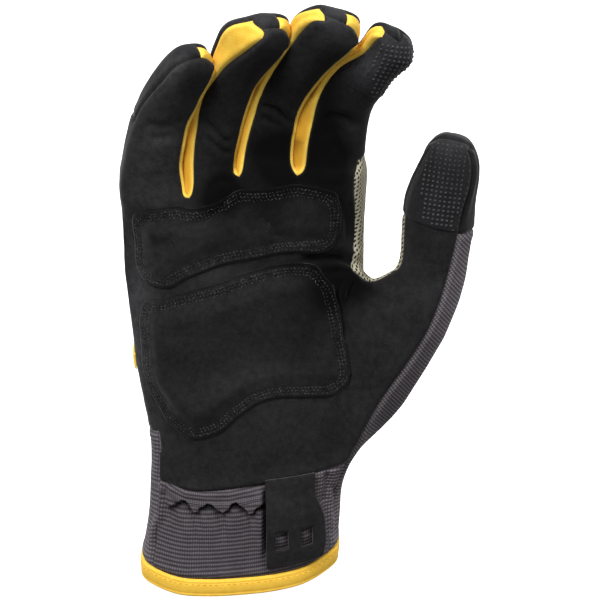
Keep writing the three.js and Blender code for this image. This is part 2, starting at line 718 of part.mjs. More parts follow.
// Tab with two windows, standing off the front of the cuff like a loop
function pullTab(cast) {
  const outer = new Map();
  const inner = new Map();
  const quads = [];
  const across = TAB_COLUMNS.length;
  const id = (i, j) => i * across + j;
  TAB_ROWS.forEach(([height, left, right, off], i) => {
    TAB_COLUMNS.forEach((share, j) => {
      const x = left + (right - left) * share;
      const z = height + TAB_TILT * (x - left);
      const { point, normal } = cast([x, -80, z], [0, 1, 0], false);
      const lean = unit([normal[0], normal[1], 0]);
      outer.set(id(i, j), add(point, lean, off + TAB_THICK));
      inner.set(id(i, j), add(point, lean, off));
      const window = TAB_WINDOWS.some(([row, column]) => row === i - 1 && column === j - 1);
      if (i && j && !window) quads.push([id(i, j - 1), id(i, j), id(i - 1, j), id(i - 1, j - 1)]);
    });
  });
  return thickSheet(quads, outer, inner);
}

// Colours
const COLOURS = {
  leather: [0x26262a, 0.92],
  fabric: [0x5a575f, 0.9],
  yellow: [0xe8b53c, 0.85],
  mesh: [0x8a8a78, 0.9],
  grip: [0x202024, 0.6],
};

function material(name) {
  const [color, roughness] = COLOURS[name];
  return new THREE.MeshStandardMaterial({ color, roughness, metalness: 0 });
}

function buildGlove() {
  const surface = gloveSurface();
  const cast = makeCaster(surface);
  const group = new THREE.Group();
  group.name = 'work_glove';
  const place = (name, geometry, cloth) => {
    geometry.computeVertexNormals();
    const mesh = new THREE.Mesh(geometry, material(cloth));
    mesh.name = name;
    group.add(mesh);
  };
  const half = SEAM_GAP / 2;
  const sewn = [
    ['palm_leather', 'leather', LEATHER_WALL],
    ['back_fabric', 'fabric', FABRIC_WALL],
    ['cuff_front', 'fabric', FABRIC_WALL],
    ['web_mesh', 'mesh', MESH_WALL],
    ['fourchette_pinky_ring', 'yellow', FOURCHETTE_WALL],
    ['fourchette_ring_middle', 'yellow', FOURCHETTE_WALL],
    ['fourchette_middle_index', 'yellow', FOURCHETTE_WALL],
    ['cap_pinky', 'leather', LEATHER_WALL],
    ['cap_ring', 'leather', LEATHER_WALL],
    ['cap_middle', 'leather', LEATHER_WALL],
    ['cap_index', 'leather', LEATHER_WALL],
    ['cap_thumb', 'leather', LEATHER_WALL],
  ];
  for (const [name, cloth, wall] of sewn) {
    const chosen = (face) => face.piece === name;
    const inset = name.startsWith('fourchette') ? half + FOURCHETTE_DRAW : half;
    place(name, sewnPiece(surface, chosen, { out: 0, into: wall, inset }), cloth);
  }
  const hem = { out: HEM_PROUD, into: HEM_WALL - HEM_PROUD, inset: half };
  place('hem_binding', sewnPiece(surface, (face) => face.piece === 'hem_binding', hem), 'yellow');
  const grip = { out: PATCH_GAP + GRIP_THICK, into: -PATCH_GAP, inset: GRIP_INSET };
  const onThumb = (face) => face.part === 'thumb' && face.ring >= THUMB_CAP_RING && face.column < 4;
  place('thumb_grip', sewnPiece(surface, onThumb, grip), 'grip');
  const onIndex = (face) => face.part === 'index' && face.ring >= 3 && face.column <= 3
    && face.piece === 'palm_leather';
  place('index_grip', sewnPiece(surface, onIndex, grip), 'grip');
  place('palm_pad_upper', laidPatch(cast, UPPER_PAD, ...PAD_CELLS.upper, PAD_EDGE, PAD_THICK), 'leather');
  place('palm_pad_lower', laidPatch(cast, LOWER_PAD, ...PAD_CELLS.lower, PAD_EDGE, PAD_THICK), 'leather');
  place('side_stripe', laidPatch(cast, STRIPE, ...PAD_CELLS.stripe, STRIPE_THICK, STRIPE_THICK), 'yellow');
  place('pull_tab', pullTab(cast), 'leather');
  return group;
}

export default buildGlove();
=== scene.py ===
"""Looks of a work glove for the right hand, seen palm first.

The skin of the glove is worked out from the same short tables as its solids, only finer. The tables
are in millimetres, with fingers up +Z, the palm towards -Y and the thumb towards +X. Objects are made
in metres.
"""

import math

import bpy
import numpy as np
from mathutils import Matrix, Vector, kdtree, noise
from mathutils.bvhtree import BVHTree


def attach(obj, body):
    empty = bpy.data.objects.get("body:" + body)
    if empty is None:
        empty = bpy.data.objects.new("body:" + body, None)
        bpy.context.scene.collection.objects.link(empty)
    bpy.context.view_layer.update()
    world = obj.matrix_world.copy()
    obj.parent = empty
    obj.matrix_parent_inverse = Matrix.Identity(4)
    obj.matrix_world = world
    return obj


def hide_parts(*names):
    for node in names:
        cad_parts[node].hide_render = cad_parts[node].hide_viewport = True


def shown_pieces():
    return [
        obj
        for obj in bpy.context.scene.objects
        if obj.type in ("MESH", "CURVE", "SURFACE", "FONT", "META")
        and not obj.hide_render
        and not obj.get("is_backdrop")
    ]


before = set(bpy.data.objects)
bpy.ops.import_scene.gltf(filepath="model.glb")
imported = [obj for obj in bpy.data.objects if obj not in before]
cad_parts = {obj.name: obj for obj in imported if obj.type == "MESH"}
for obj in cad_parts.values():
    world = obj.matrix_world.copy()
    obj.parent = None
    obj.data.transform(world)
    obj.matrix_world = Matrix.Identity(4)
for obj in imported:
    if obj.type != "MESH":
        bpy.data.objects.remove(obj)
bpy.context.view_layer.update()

MM = 0.001

# Camera: elevation in degrees, then distance, width seen at that distance and the point looked at
VIEW_ELEVATION = 14.0
VIEW_DISTANCE = 1.0
VIEW_WIDTH = 0.246
VIEW_TARGET = (0.0255, -0.0100, 0.1160)
SENSOR = 36.0

# Light of the surround from below and from above, and what is added behind the glove, each with the span of
# directions over which it comes in
SKY = (0.10, 0.85)
SKY_SPAN = (-0.35, 0.55)
BACKLIGHT = 1.6
BACKLIGHT_SPAN = (0.25, 0.85)

# Suns: degrees to the right of the camera, degrees above the floor, strength, and spread in degrees
KEY_SUN = (-28.0, 48.0, 3.1, 30.0)
FILL_SUN = (55.0, 35.0, 0.9, 45.0)
GROUND_SUN = (0.0, 90.0, 3.6, 60.0)

# Floor: half width in metres, how far under the glove in millimetres, and colour
FLOOR_HALF = 6.0
FLOOR_GAP = 0.2
FLOOR_WHITE = (0.90, 0.90, 0.90)

# Each cloth: its wall, then depth, fullness and width of its seams
CLOTHS = {
    "leather": (1.6, 0.75, 0.16, 0.85),
    "fabric": (1.5, 0.75, 0.40, 1.0),
    "cuff": (1.5, 0.75, 0.40, 1.0),
    "mesh": (1.4, 0.5, 0.1, 1.0),
    "yellow": (1.2, 0.65, 0.30, 0.9),
}

# Sewn pieces and their cloth
SEWN = {
    "palm_leather": "leather", "back_fabric": "fabric", "cuff_front": "cuff", "web_mesh": "mesh",
    **{"fourchette_" + pair: "yellow" for pair in ("pinky_ring", "ring_middle", "middle_index")},
    **{"cap_" + part: "leather" for part in ("pinky", "ring", "middle", "index", "thumb")},
}
PIECES = ["hem_binding", *SEWN]
PARTS = ["palm", "pinky", "ring", "middle", "index", "thumb"]

# Number that stands for the tip in place of a ring
TIP = 99

# Rounds of subdivision of the skin outside, inside and under the grips
FINE, MEDIUM, SIMPLE = 4, 3, 1

# Fullness beside a seam: its distance from the seam and its width
SEAM_SWELL = (2.2, 1.3)

# Lower edge of the palm, which lies over the cuff: it is what lies under this height, then how far it stands
# proud, over what distance that fades, and how deep and wide its rim turns in
LAP_TOP = 52.0
LAP = (0.6, 6.0, 0.35, 0.5)

# Hem: wall, how far it stands proud, how far it is then drawn in, and the share of its height that its fold
# takes
HEM_WALL = 2.6
HEM_PROUD = 0.5
HEM_DRAW = 0.3
HEM_FOLD = 0.18

# Hem: steps down its outside, round the fold and up its inside, then the bulge of its outside, where on its
# arch that begins at the top, and how flat it is
HEM_STEPS = (18, 8, 6)
HEM_BULGE = (0.62, 0.14, 0.6)

# Depth, place and width of the groove that its stitches lie in, and depth and width of its turned-in edge
HEM_GROOVE = (0.20, 1.9, 0.5)
HEM_EDGE = (0.55, 0.5)

# The step down that its stitches follow, then their pitch, length and radius
HEM_STITCH_RING = 6
HEM_STITCH = (2.5, 1.5, 0.12)

# Middle of the palm, from which the patches are laid on
PALM_AXIS = (2.0, 6.0)

# What lies in front of this y is on the palm side
PALM_SIDE = -8.0

# Each row of the cuff and palm, from the hem up
# z, left x, right x, front y, back y, tilt, dip, squareness
PALM_ROWS = [
    (0.0, -41.0, 41.0, -27.0, 26.5, 0.08, 6.2, 2.7),
    (7.4, -40.9, 41.2, -27.0, 26.0, 0.075, 6.2, 2.7),
    (19.0, -39.2, 42.2, -26.5, 24.5, 0.12, 5.0, 2.6),
    (31.0, -37.6, 43.4, -26.0, 22.5, 0.13, 4.0, 2.5),
    (43.0, -36.9, 49.6, -24.5, 20.0, 0.15, 3.0, 2.5),
    (63.0, -37.2, 51.0, -23.5, 17.0, 0.08, 0.0, 2.6),
    (84.0, -41.6, 50.0, -22.5, 15.5, 0.0, 0.0, 2.7),
    (104.5, -43.8, 51.0, -21.5, 15.0, 0.0, 0.0, 2.8),
    (125.0, -46.1, 51.8, -20.5, 15.0, 0.0, 0.0, 2.8),
    (144.0, -46.7, 51.6, -19.0, 15.0, 0.0, 0.0, 2.8),
]

# Spread of the nine front columns at the cuff, as shares of the half width, and the height from which and
# over which it passes into the spread at the fingers
CUFF_COLUMNS = (-0.90, -0.66, -0.43, -0.20, 0.03, 0.26, 0.49, 0.72, 0.92)
COLUMNS_PASS = (31.0, 108.0)

# Where the two points at each side of a row stand, as shares of its front and of its back
SIDE_FRONT = 0.28
SIDE_BACK = 0.3

# Rise of the leather's lower edge, by column, where it runs up at the two sides of the hand
EDGE_ROW = 4
EDGE_RISE = {0: 3.4, 1: 1.0, 7: 0.3, 8: 2.4, 20: 1.6, 21: 3.2}

# Rows between which the thumb leaves the palm, and how far forward its front edge stands there
THUMB_ROWS = (4, 8)
THUMB_EDGE = (0.72, 0.86, 0.90, 0.86, 0.74)
THUMB_EDGE_STEP = 0.08

# Height of the web between thumb and first finger over its row, and what the thumb's side of it adds
WEB_FRONT_RISE = 5.2
WEB_SIDE_RISE = -1.6
WEB_THUMB_RISE = 0.5

# Rings of each finger from the crotch to the tip
# x, y, z, width, depth, roll in degrees, then how far the left and right seams have moved round to the side
FINGERS = {
    "pinky": [
        (-33.8, -1.5, 157.5, 27.6, 31.0, 0.0, 0.0, 0.0),
        (-34.6, -3.2, 169.5, 25.6, 22.4, 4.0, 0.0, 0.0),
        (-30.4, -8.6, 190.0, 23.0, 19.0, 14.0, 0.0, 0.0),
        (-26.0, -14.0, 200.5, 21.5, 18.5, 22.0, 0.0, 0.3),
        (-21.0, -19.5, 209.5, 19.5, 17.5, 30.0, 0.0, 0.0),
        (-15.8, -25.0, 217.0, 17.0, 15.5, 36.0, 0.0, 0.0),
    ],
    "ring": [
        (-9.8, -1.5, 166.0, 22.0, 31.0, 0.0, 0.0, 0.0),
        (-10.6, -2.6, 176.0, 20.0, 22.5, 11.0, 0.3, 0.0),
        (-5.8, -7.8, 195.5, 20.7, 19.2, 14.0, 0.9, 0.0),
        (-2.1, -13.5, 208.0, 19.6, 19.0, 22.0, 0.65, 0.3),
        (3.5, -19.6, 218.5, 21.0, 19.2, 31.0, 0.25, 0.0),
        (11.8, -27.0, 227.8, 20.4, 16.4, 36.0, 0.0, -0.2),
    ],
    "middle": [
        (12.2, -1.5, 171.5, 24.5, 31.0, 0.0, 0.0, 0.0),
        (12.2, -3.1, 180.5, 22.8, 22.5, 5.0, 0.1, 0.0),
        (16.6, -8.7, 198.5, 20.6, 19.0, 12.0, 0.4, 0.0),
        (23.3, -15.0, 211.0, 19.8, 18.5, 16.0, 0.7, 0.3),
        (31.4, -21.4, 222.2, 20.2, 18.6, 22.0, 0.7, 0.0),
        (38.8, -28.5, 230.7, 21.8, 16.6, 26.0, 0.5, -0.3),
    ],
    "index": [
        (38.4, -1.5, 167.0, 28.0, 31.0, -8.0, 0.0, 0.0),
        (38.1, -3.2, 177.5, 27.0, 22.5, 5.0, 0.1, 0.0),
        (41.8, -9.1, 197.0, 24.8, 19.2, 12.0, 0.5, 0.0),
        (48.2, -15.0, 208.5, 23.0, 18.5, 14.0, 0.7, 0.0),
        (54.8, -21.0, 217.3, 20.6, 17.6, 18.0, 0.8, 0.0),
        (61.4, -27.0, 223.8, 20.0, 16.0, 22.0, 0.7, 0.0),
    ],
}
FINGER_TIPS = {"pinky": 5.4, "ring": 6.0, "middle": 6.0, "index": 5.6}

# How much the first ring of a finger leans its way, and where the points at a tip stand, as shares of its
# depth
ROOT_LEAN = 0.3
TIP_SPREAD = (0.19, -0.19)

# Ten points round a finger, as shares of its width and depth
FINGER_SECTION = [
    (-0.40, 0.40), (0.00, 0.50), (0.40, 0.40), (0.50, 0.14), (0.50, -0.16),
    (0.38, -0.42), (0.00, -0.50), (-0.38, -0.42), (-0.50, -0.16), (-0.50, 0.14),
]

# Rings of the thumb from the palm to the tip
# inner x, inner z, outer x, outer z, y, depth, roll in degrees, how far the outer seam has moved to the side
THUMB = [
    (56.0, 123.0, 62.6, 63.5, -6.0, 31.0, 6.0, 0.0),
    (61.5, 125.5, 78.2, 86.5, -8.6, 28.5, 14.0, 0.0),
    (65.6, 135.5, 91.2, 114.5, -11.0, 26.5, 20.0, 0.2),
    (66.2, 153.5, 96.6, 146.5, -14.0, 25.5, 22.0, 0.65),
    (68.3, 165.5, 97.4, 158.0, -16.0, 24.5, 22.0, 0.85),
    (72.5, 175.0, 98.4, 171.5, -18.0, 22.0, 20.0, 1.1),
    (76.0, 182.0, 95.2, 182.0, -20.0, 17.0, 18.0, 1.1),
]
THUMB_TIP = 4.5

# Points at the tip, as shares of its width and height, and how full the turned thumb is at its side
THUMB_TIP_POINTS = ((-0.2, 0.9), (0.03, 1.0), (0.24, 0.9))
THUMB_FULLNESS = 0.62

# Points that two fingers share at their crotch, and how far the crotch rises there behind its front edge
CROTCH = [(2, 0, 0.0), (3, 9, 4.0), (4, 8, 6.0), (5, 7, 3.0)]

# How far a finger's seam and the line behind it go round to the side: shares of its width and depth
SEAM_SHIFT = (0.10, -0.26)
SIDE_SHIFT = -0.15
THUMB_SEAM_SHIFT = (-0.12, -0.22)
THUMB_SIDE_SHIFT = -0.14

# Fourteen points round the thumb, as shares of its width and depth
THUMB_SECTION = [
    (-0.34, 0.42), (-0.16, 0.49), (0.03, 0.50), (0.22, 0.47), (0.44, 0.30),
    (0.50, 0.14), (0.50, -0.16), (0.40, -0.39), (0.21, -0.47), (0.00, -0.50),
    (-0.21, -0.47), (-0.40, -0.39), (-0.50, -0.16), (-0.50, 0.14),
]

# The first ring that the fingertip caps cover, on the fingers and on the thumb
CAP_RING = 2
THUMB_CAP_RING = 4

# Dents of the palm side. Those with a depth below 0 are where the cuff rises in the tab's windows
# x, z, reach across, reach up, depth
DENTS = [
    (8.0, 104.0, 24.0, 24.0, 1.8),
    (17.7, 18.0, 3.2, 3.4, -2.2),
    (27.2, 19.2, 3.0, 3.4, -2.2),
    (38.0, 133.0, 9.0, 4.5, 1.6),
    (10.0, 131.0, 16.0, 4.5, 0.9),
    (-28.0, 122.0, 12.0, 4.5, 0.9),
    (45.0, 113.0, 5.0, 13.0, 1.5),
    (-31.0, 186.0, 9.0, 3.8, 0.8),
    (-9.0, 189.0, 9.0, 3.8, 1.0),
    (15.0, 193.0, 9.0, 3.8, 1.0),
    (42.0, 191.0, 11.0, 3.8, 1.3),
]

# Sharp creases of palm and cuff: width, depth, then the x and z of points along each. Those with a depth
# below 0 stand up. All depths are multiplied by the first number, and the second is the share of a crease
# over which it fades at each end
CREASE_DEPTH = 1.35
CREASE_FADE = 0.22

# Raised lip at both sides of a crease: its height as a share of the depth, its place and width in widths
CREASE_LIP = (0.34, 2.1, 1.2)

# Relief is on the palm side only: how far the surface has to face it, and over what further share it sets in
FACING_PALM = (0.05, 0.45)
CREASES = [
    (1.7, 2.1, [(24.0, 134.6), (34.7, 136.1), (41.8, 135.1), (47.0, 132.6), (51.5, 129.5)]),
    (1.0, 0.8, [(35.0, 129.0), (41.8, 129.7), (48.0, 129.0)]),
    (1.3, 1.5, [(41.2, 127.0), (40.6, 119.6), (42.6, 114.2), (43.6, 106.2), (43.8, 99.0)]),
    (1.1, 1.0, [(48.5, 126.5), (45.6, 121.1), (44.4, 115.0)]),
    (1.9, 1.3, [(39.9, 163.0), (43.3, 156.1), (45.2, 149.1), (46.1, 138.3)]),
    (2.2, 1.2, [(-15.0, 148.0), (-6.7, 156.2), (0.5, 166.0)]),
    (1.8, 0.7, [(8.8, 155.0), (13.0, 150.2), (16.8, 144.0)]),
    (1.6, 0.45, [(-37.0, 191.8), (-31.6, 189.3), (-26.1, 189.6), (-21.1, 194.8)]),
    (1.7, 0.30, [(-35.5, 184.8), (-29.4, 184.0), (-25.0, 186.5)]),
    (1.1, 1.2, [(-13.6, 192.4), (-9.0, 187.2), (-5.4, 183.3), (-1.0, 182.2)]),
    (1.1, 0.8, [(-12.6, 184.6), (-5.9, 179.1), (-2.0, 177.6)]),
    (1.2, 1.1, [(7.8, 198.0), (12.7, 197.3), (16.8, 195.6), (23.4, 188.6)]),
    (1.1, 0.8, [(9.0, 193.6), (15.1, 190.1), (20.0, 188.4)]),
    (1.6, 0.80, [(33.5, 191.2), (38.0, 194.4), (44.5, 192.6), (50.4, 187.2)]),
    (1.7, 0.50, [(31.4, 184.0), (38.3, 187.3), (43.0, 186.8)]),
    (1.9, 0.50, [(36.8, 183.0), (42.0, 179.2), (45.2, 172.0)]),
    (1.6, 0.6, [(-14.0, 164.0), (-5.9, 167.1), (1.0, 165.6)]),
    (1.8, 0.6, [(49.0, 122.4), (56.5, 117.6), (64.0, 115.4)]),
    (2.2, 0.6, [(50.5, 119.0), (58.9, 110.7), (64.4, 101.0)]),
    (1.3, 1.0, [(36.5, 47.0), (37.0, 38.0), (34.6, 30.0)]),
    (1.4, 0.9, [(38.5, 40.0), (40.2, 31.0), (40.6, 22.0), (40.0, 12.0)]),
    (1.2, 2.2, [(11.2, 42.0), (11.7, 34.0), (11.8, 22.0), (11.6, 8.0)]),
    (1.1, -0.9, [(-30.9, 44.0), (-32.1, 37.4), (-32.7, 25.8), (-35.2, 19.4), (-37.4, 8.9)]),
    (1.2, -0.6, [(38.5, 41.0), (37.6, 34.0), (38.4, 26.0), (40.0, 16.0)]),
    (3.2, 0.7, [(-24.5, 160.0), (-25.5, 148.0), (-30.0, 137.0)]),
    (3.0, 0.6, [(5.0, 160.0), (7.5, 152.0), (6.0, 143.0)]),
]

# Unevenness of worn cloth, as depth, size and seed, and the height from which and over which it sets in
WORN = ((0.30, 15.0, 1), (0.13, 5.5, 2))
WORN_FROM = (34.0, 10.0)

# Painted light and shade on leather and grips, darker in valleys and on faces turned from the light, lighter
# on lit edges: x, z, reach across, reach up, share
PAINTED_LIGHT_SHADE_SPOTS = [
    (25.5, 179.5, 14.0, 7.0, -0.85),
    (18.0, 168.0, 12.0, 8.0, -0.45),
    (-6.0, 169.0, 8.0, 8.0, -0.55),
    (26.0, 134.0, 12.0, 5.0, -0.35),
    (-42.0, 97.0, 5.5, 38.0, 2.20),
    (-34.0, 126.0, 5.0, 10.0, 0.60),
    (-33.0, 62.0, 5.0, 9.0, 0.70),
    (54.0, 214.0, 8.0, 11.0, 1.10),
    (59.0, 217.0, 8.0, 10.0, 0.80),
    (33.0, 229.0, 8.0, 6.0, 0.70),
    (10.0, 229.0, 7.0, 6.0, 0.90),
    (-23.5, 211.0, 6.0, 10.0, 1.60),
    (-31.0, 188.0, 7.0, 12.0, 0.55),
    (75.0, 171.0, 5.0, 9.0, -0.50),
    (92.0, 184.0, 6.0, 7.0, 0.60),
    (80.0, 124.0, 8.0, 12.0, 0.50),
    (51.0, 122.0, 7.0, 8.0, -0.45),
    (38.0, 117.0, 8.0, 7.0, -0.35),
    (28.0, 165.0, 12.0, 7.0, -0.30),
    (43.0, 172.0, 6.0, 10.0, -0.50),
    (-5.0, 161.0, 6.0, 6.0, -0.50),
    (5.0, 107.0, 14.0, 10.0, -0.25),
    (10.0, 84.5, 13.0, 6.0, 0.40),
    (-33.0, 186.0, 14.0, 22.0, 0.80),
    (4.0, 231.0, 10.0, 13.0, 1.30),
    (38.0, 238.0, 11.0, 9.0, 1.10),
    (14.0, 210.0, 8.0, 16.0, -0.75),
    (13.0, 178.0, 14.0, 12.0, -0.80),
    (36.0, 190.0, 9.0, 34.0, -0.92),
    (-8.0, 159.0, 12.0, 9.0, -0.90),
    (14.0, 157.0, 10.0, 7.0, -0.65),
    (45.0, 148.0, 6.0, 16.0, -0.50),
    (40.0, 126.0, 12.0, 9.0, -0.85),
    (31.0, 114.0, 15.0, 16.0, -0.45),
    (-7.0, 128.0, 17.0, 7.0, 0.30),
    (-22.0, 98.0, 9.0, 16.0, -0.20),
]

# Painted light and shade on the knit: lighter where it faces the fill light, darker in the tab's shadow
KNIT_PAINTED_LIGHT_SHADE_SPOTS = [
    (39.0, 24.0, 6.0, 24.0, 0.60),
    (92.0, 112.0, 12.0, 44.0, 0.55),
    (-44.0, 60.0, 6.0, 70.0, 0.40),
    (11.9, 25.0, 1.7, 17.0, -0.70),
]

# Soft moves of the surface seen from the front, of one part or of all
# part, x, z, reach across, reach up, move in x, in z, and squeeze
MOVES = [
    (None, -21.3, 164.0, 7.0, 6.5, 1.6, -1.6, 0.42),
    (None, -0.4, 171.5, 5.0, 6.0, 0.4, 0.0, 0.25),
    (None, 25.8, 171.0, 6.0, 7.0, 0.7, 0.0, 0.10),
    ("pinky", -9.0, 221.5, 8.0, 9.0, -0.8, 0.3, 0.0),
    ("ring", 5.5, 231.0, 6.0, 9.0, 3.4, 0.0, 0.0),
    ("middle", 46.0, 237.0, 7.0, 9.0, 2.6, 0.0, 0.0),
    ("index", 51.0, 222.5, 5.0, 7.0, 3.2, 0.0, 0.0),
    ("ring", -2.0, 231.0, 8.0, 8.0, -2.2, 2.0, 0.0),
    ("ring", -7.0, 222.0, 7.0, 8.0, -0.2, 0.8, 0.0),
    ("ring", 18.0, 232.0, 7.0, 8.0, 2.4, 1.4, 0.0),
    ("ring", 3.5, 219.0, 7.0, 8.0, 2.4, 0.0, 0.0),
    ("middle", 22.0, 233.0, 8.0, 8.0, -2.5, 2.2, 0.0),
    ("middle", 29.5, 230.0, 6.0, 8.0, 2.2, 0.0, 0.0),
    ("index", 47.5, 219.0, 6.0, 6.0, 2.8, -0.8, 0.0),
]

# Seams slid over the surface of a finger: part, middle, the finger's direction, reach along it and round it,
# how far backwards round it and how far along it
SLIDES = [
    ("ring", (-3.8, -20.6, 225.1), (0.59, -0.54, 0.60), 10.0, 6.5, 1.0, 0.0),
    ("ring", (7.5, -34.0, 228.5), (0.59, -0.54, 0.60), 7.0, 7.0, 0.8, 3.8),
    ("middle", (21.2, -18.1, 226.7), (0.52, -0.48, 0.70), 11.0, 7.0, 3.6, 0.0),
    ("middle", (30.0, -33.0, 233.0), (0.52, -0.48, 0.70), 9.0, 8.0, 0.6, 7.0),
    ("index", (46.0, -16.0, 226.0), (0.64, -0.41, 0.65), 10.0, 7.0, 3.6, 0.0),
    ("index", (54.5, -30.0, 229.0), (0.64, -0.41, 0.65), 6.5, 6.0, 0.0, 5.0),
]
SLIDE_STEPS = 4
SLIDE_LEAST = 0.02

# Folds of the yellow walls, as bumps and painted shade: width, share, then the x and z of points along each
YELLOW_FOLD_BUMPS_AND_SHADE = [
    (1.3, 0.90, [(23.6, 170.0), (24.0, 173.5), (25.0, 178.0), (26.6, 184.0)]),
    (0.8, 0.35, [(-21.4, 168.0), (-22.6, 174.0), (-22.4, 181.0), (-20.0, 188.0)]),
    (0.8, 0.30, [(-2.0, 176.0), (-0.6, 184.0), (1.4, 191.0)]),
]

# Painted shade of the yellow walls deep between the fingers and painted shade in their folds, and the height
# below which and over which the painted shade deep between the fingers sets in
YELLOW_DEEP_SHADE = (0.60, 0.27, 0.014)
YELLOW_FOLD_SHADE = (0.19, 0.072, 0.006)
DEEP_BELOW = (206.0, 18.0)

# Walls between two fingers: how far they lean to the left, from what distance behind their edge and over
# what distance, then the height where that begins to end and over what height
CROTCH_LEAN = (3.4, 0.8, 3.6, 192.0, 14.0)

# Middle of the web between thumb and first finger: x and z
WEB_MIDDLE = (57.0, 126.0)

# Gathered cuff: the leather's lower edge over it as x and z, the top of the flat band, the row of puffs, and
# the waves that make it uneven, as size, by x, by z and phase
BAND_EDGE = [
    (-34.0, 42.5), (-21.6, 38.0), (-12.9, 37.6), (-3.8, 38.1), (4.9, 39.9), (10.0, 41.1), (40.0, 47.0),
]
BAND_TOP = 40.0
# The puffs also give the place and width of the painted shade under the band
PUFFS = {
    "middle": -0.9, "pitch": 11.1, "from": -31.0, "to": 12.5,
    "cusp": 28.8, "arch": 4.6, "height": 2.2, "fade": 11.0, "hollow": 2.3, "band": 1.0,
    "swell": 2.4, "hollow_width": 1.9, "valley": 1.2, "valley_reach": 9.0,
    "shade_at": 0.5, "shade_width": 2.4,
}
PUFF_WAVES = ((0.55, 0.61, 0.0, 0.9), (0.3, 1.9, 0.4, 0.0))

# Padded patches, laid round the palm: degrees round from straight ahead, low z, high z
UPPER_PAD = [
    (-69.0, 134.0, 146.0),
    (-66.5, 128.5, 151.5),
    (-60.0, 123.6, 155.4),
    (-52.0, 122.7, 156.2),
    (-43.0, 126.5, 155.6),
    (-28.0, 130.6, 157.6),
    (-15.0, 133.0, 160.5),
    (-4.0, 134.0, 163.0),
    (15.0, 135.5, 163.8),
    (33.0, 137.3, 164.6),
    (47.0, 137.7, 165.2),
    (54.0, 137.8, 164.4),
    (59.0, 139.6, 162.0),
    (62.5, 145.0, 156.0),
]
LOWER_PAD = [
    (-67.0, 88.0, 108.0),
    (-64.0, 78.0, 116.0),
    (-60.0, 73.0, 118.0),
    (-54.0, 66.2, 118.6),
    (-45.0, 61.9, 121.0),
    (-36.0, 59.5, 122.8),
    (-27.0, 60.7, 124.3),
    (-16.0, 63.6, 126.0),
    (-3.0, 69.6, 128.4),
    (15.0, 75.7, 130.8),
    (27.0, 77.4, 132.4),
    (41.0, 77.5, 133.6),
    (51.0, 78.1, 132.6),
    (56.5, 81.0, 126.0),
    (60.0, 87.0, 108.0),
]
PAD_CELLS = {"upper": (150, 48), "lower": (140, 84)}

# Pads: gap under them, height of the sewn rim and of the filling
PAD_GAP = 0.25
PAD_RIM = 1.0
PAD_FILL = 2.6

# Height of the rim's edge as a share and over what distance it rises, then over what distance the filling
# does, its even share and its uneven one
PAD_EDGE = (0.08, 1.2)
PAD_FULL = (7.0, 0.80, 0.40)

# Puckers behind the last row of stitches: height, distance behind it and width
PAD_PUCKER = (0.26, 1.4, 2.0)

# Rows of stitches from the rim, how deep and wide these dip, and the middle and width of the sewn band
STITCH_ROWS = (1.9, 3.2, 4.5)
STITCH_DIP = (0.24, 0.45)
SEWN_BAND = (3.2, 1.9)

# Pitch, length and radius of their stitches, the slant in degrees, and its spread, that of their place, of
# their length and of how deep they lie
PAD_STITCH = (1.5, 1.25, 0.16)
ZIGZAG = 38.0
ZIGZAG_SPREAD = 14.0
PLACE_SPREAD = 0.12
LENGTH_SPREAD = (0.75, 1.2)
DEPTH_SPREAD = (0.0, 0.20)

# A stitch: place along it, lift and girth, in shares of its length and thickness, and its sides
STITCH_PROFILE = (
    (-0.5, -0.25, 0.55), (-0.36, 0.12, 0.95), (-0.12, 0.26, 1.0),
    (0.12, 0.26, 1.0), (0.36, 0.12, 0.95), (0.5, -0.25, 0.55),
)
STITCH_SIDES = 6

# How far to both sides of a stitch its line is read for the direction, and rounds of smoothing of that line
STITCH_REACH = 0.3
LINE_ROUNDS = 8

# Stripe on the little finger's side: degrees, low z, high z, then its cells, the gap under it and thickness
STRIPE = [
    (-72.0, 86.2, 92.8),
    (-79.0, 86.2, 94.0),
    (-87.4, 86.0, 94.4),
    (-94.0, 85.9, 94.2),
    (-101.0, 86.0, 94.2),
    (-109.0, 87.0, 95.2),
]
STRIPE_CELLS = (40, 14)
STRIPE_GAP = 0.15
STRIPE_THICK = 0.9

# Share of the stripe's thickness at its edge, and over what distance it becomes full
STRIPE_EDGE = (0.4, 0.6)

# Pull tab: height at its left edge, left x, right x and how far it stands off the cuff
TAB_ROWS = [
    (43.5, 11.1, 31.0, 0.6),
    (38.5, 11.2, 30.6, 1.0),
    (32.0, 11.5, 31.0, 2.4),
    (27.0, 11.4, 32.4, 2.9),
    (22.2, 11.4, 33.6, 2.7),
    (12.8, 11.4, 34.2, 2.1),
    (9.5, 11.4, 34.2, 1.4),
    (6.2, 11.6, 33.6, 0.9),
]
TAB_TILT = 0.13
TAB_COLUMNS = (0.0, 0.16, 0.385, 0.60, 0.79, 1.0)
TAB_WINDOWS = ((4, 1), (4, 3))
TAB_GAP = 0.35
TAB_THICK = 1.7
TAB_STEPS = 7

# Its edges: how far they turn in outside and inside and over what width, then depth, place and width of the
# dip beside them, and its unevenness as size, features and seed
TAB_EDGE = (0.45, 0.35, 0.45)
TAB_DIP = (0.22, 1.6, 0.45)
TAB_WORN = ((0.35, 7.0, 9), (0.15, 2.8, 3))

# Rounds of smoothing of how far it stands off and of its form, and the y from which it is laid on
TAB_ROUNDS = (4, 12)
TAB_FROM = -80.0

# Grip patches: inset from the seams, gap under them and thickness, then pitch, length and radius of their
# stitches, and how far these lie from the rim
GRIP_INSET = 0.7
GRIP_GAP = 0.04
GRIP_THICK = 0.45
GRIP_STITCH = (2.2, 1.4, 0.18)
GRIP_STITCH_ROW = 0.9

# Width of a grip's rim, and what is added to it towards the side where it runs out thin
GRIP_RIM = (0.6, 3.4)

# How far from the middle of a grip its row of stitches begins
GRIP_SEWN = 4.0

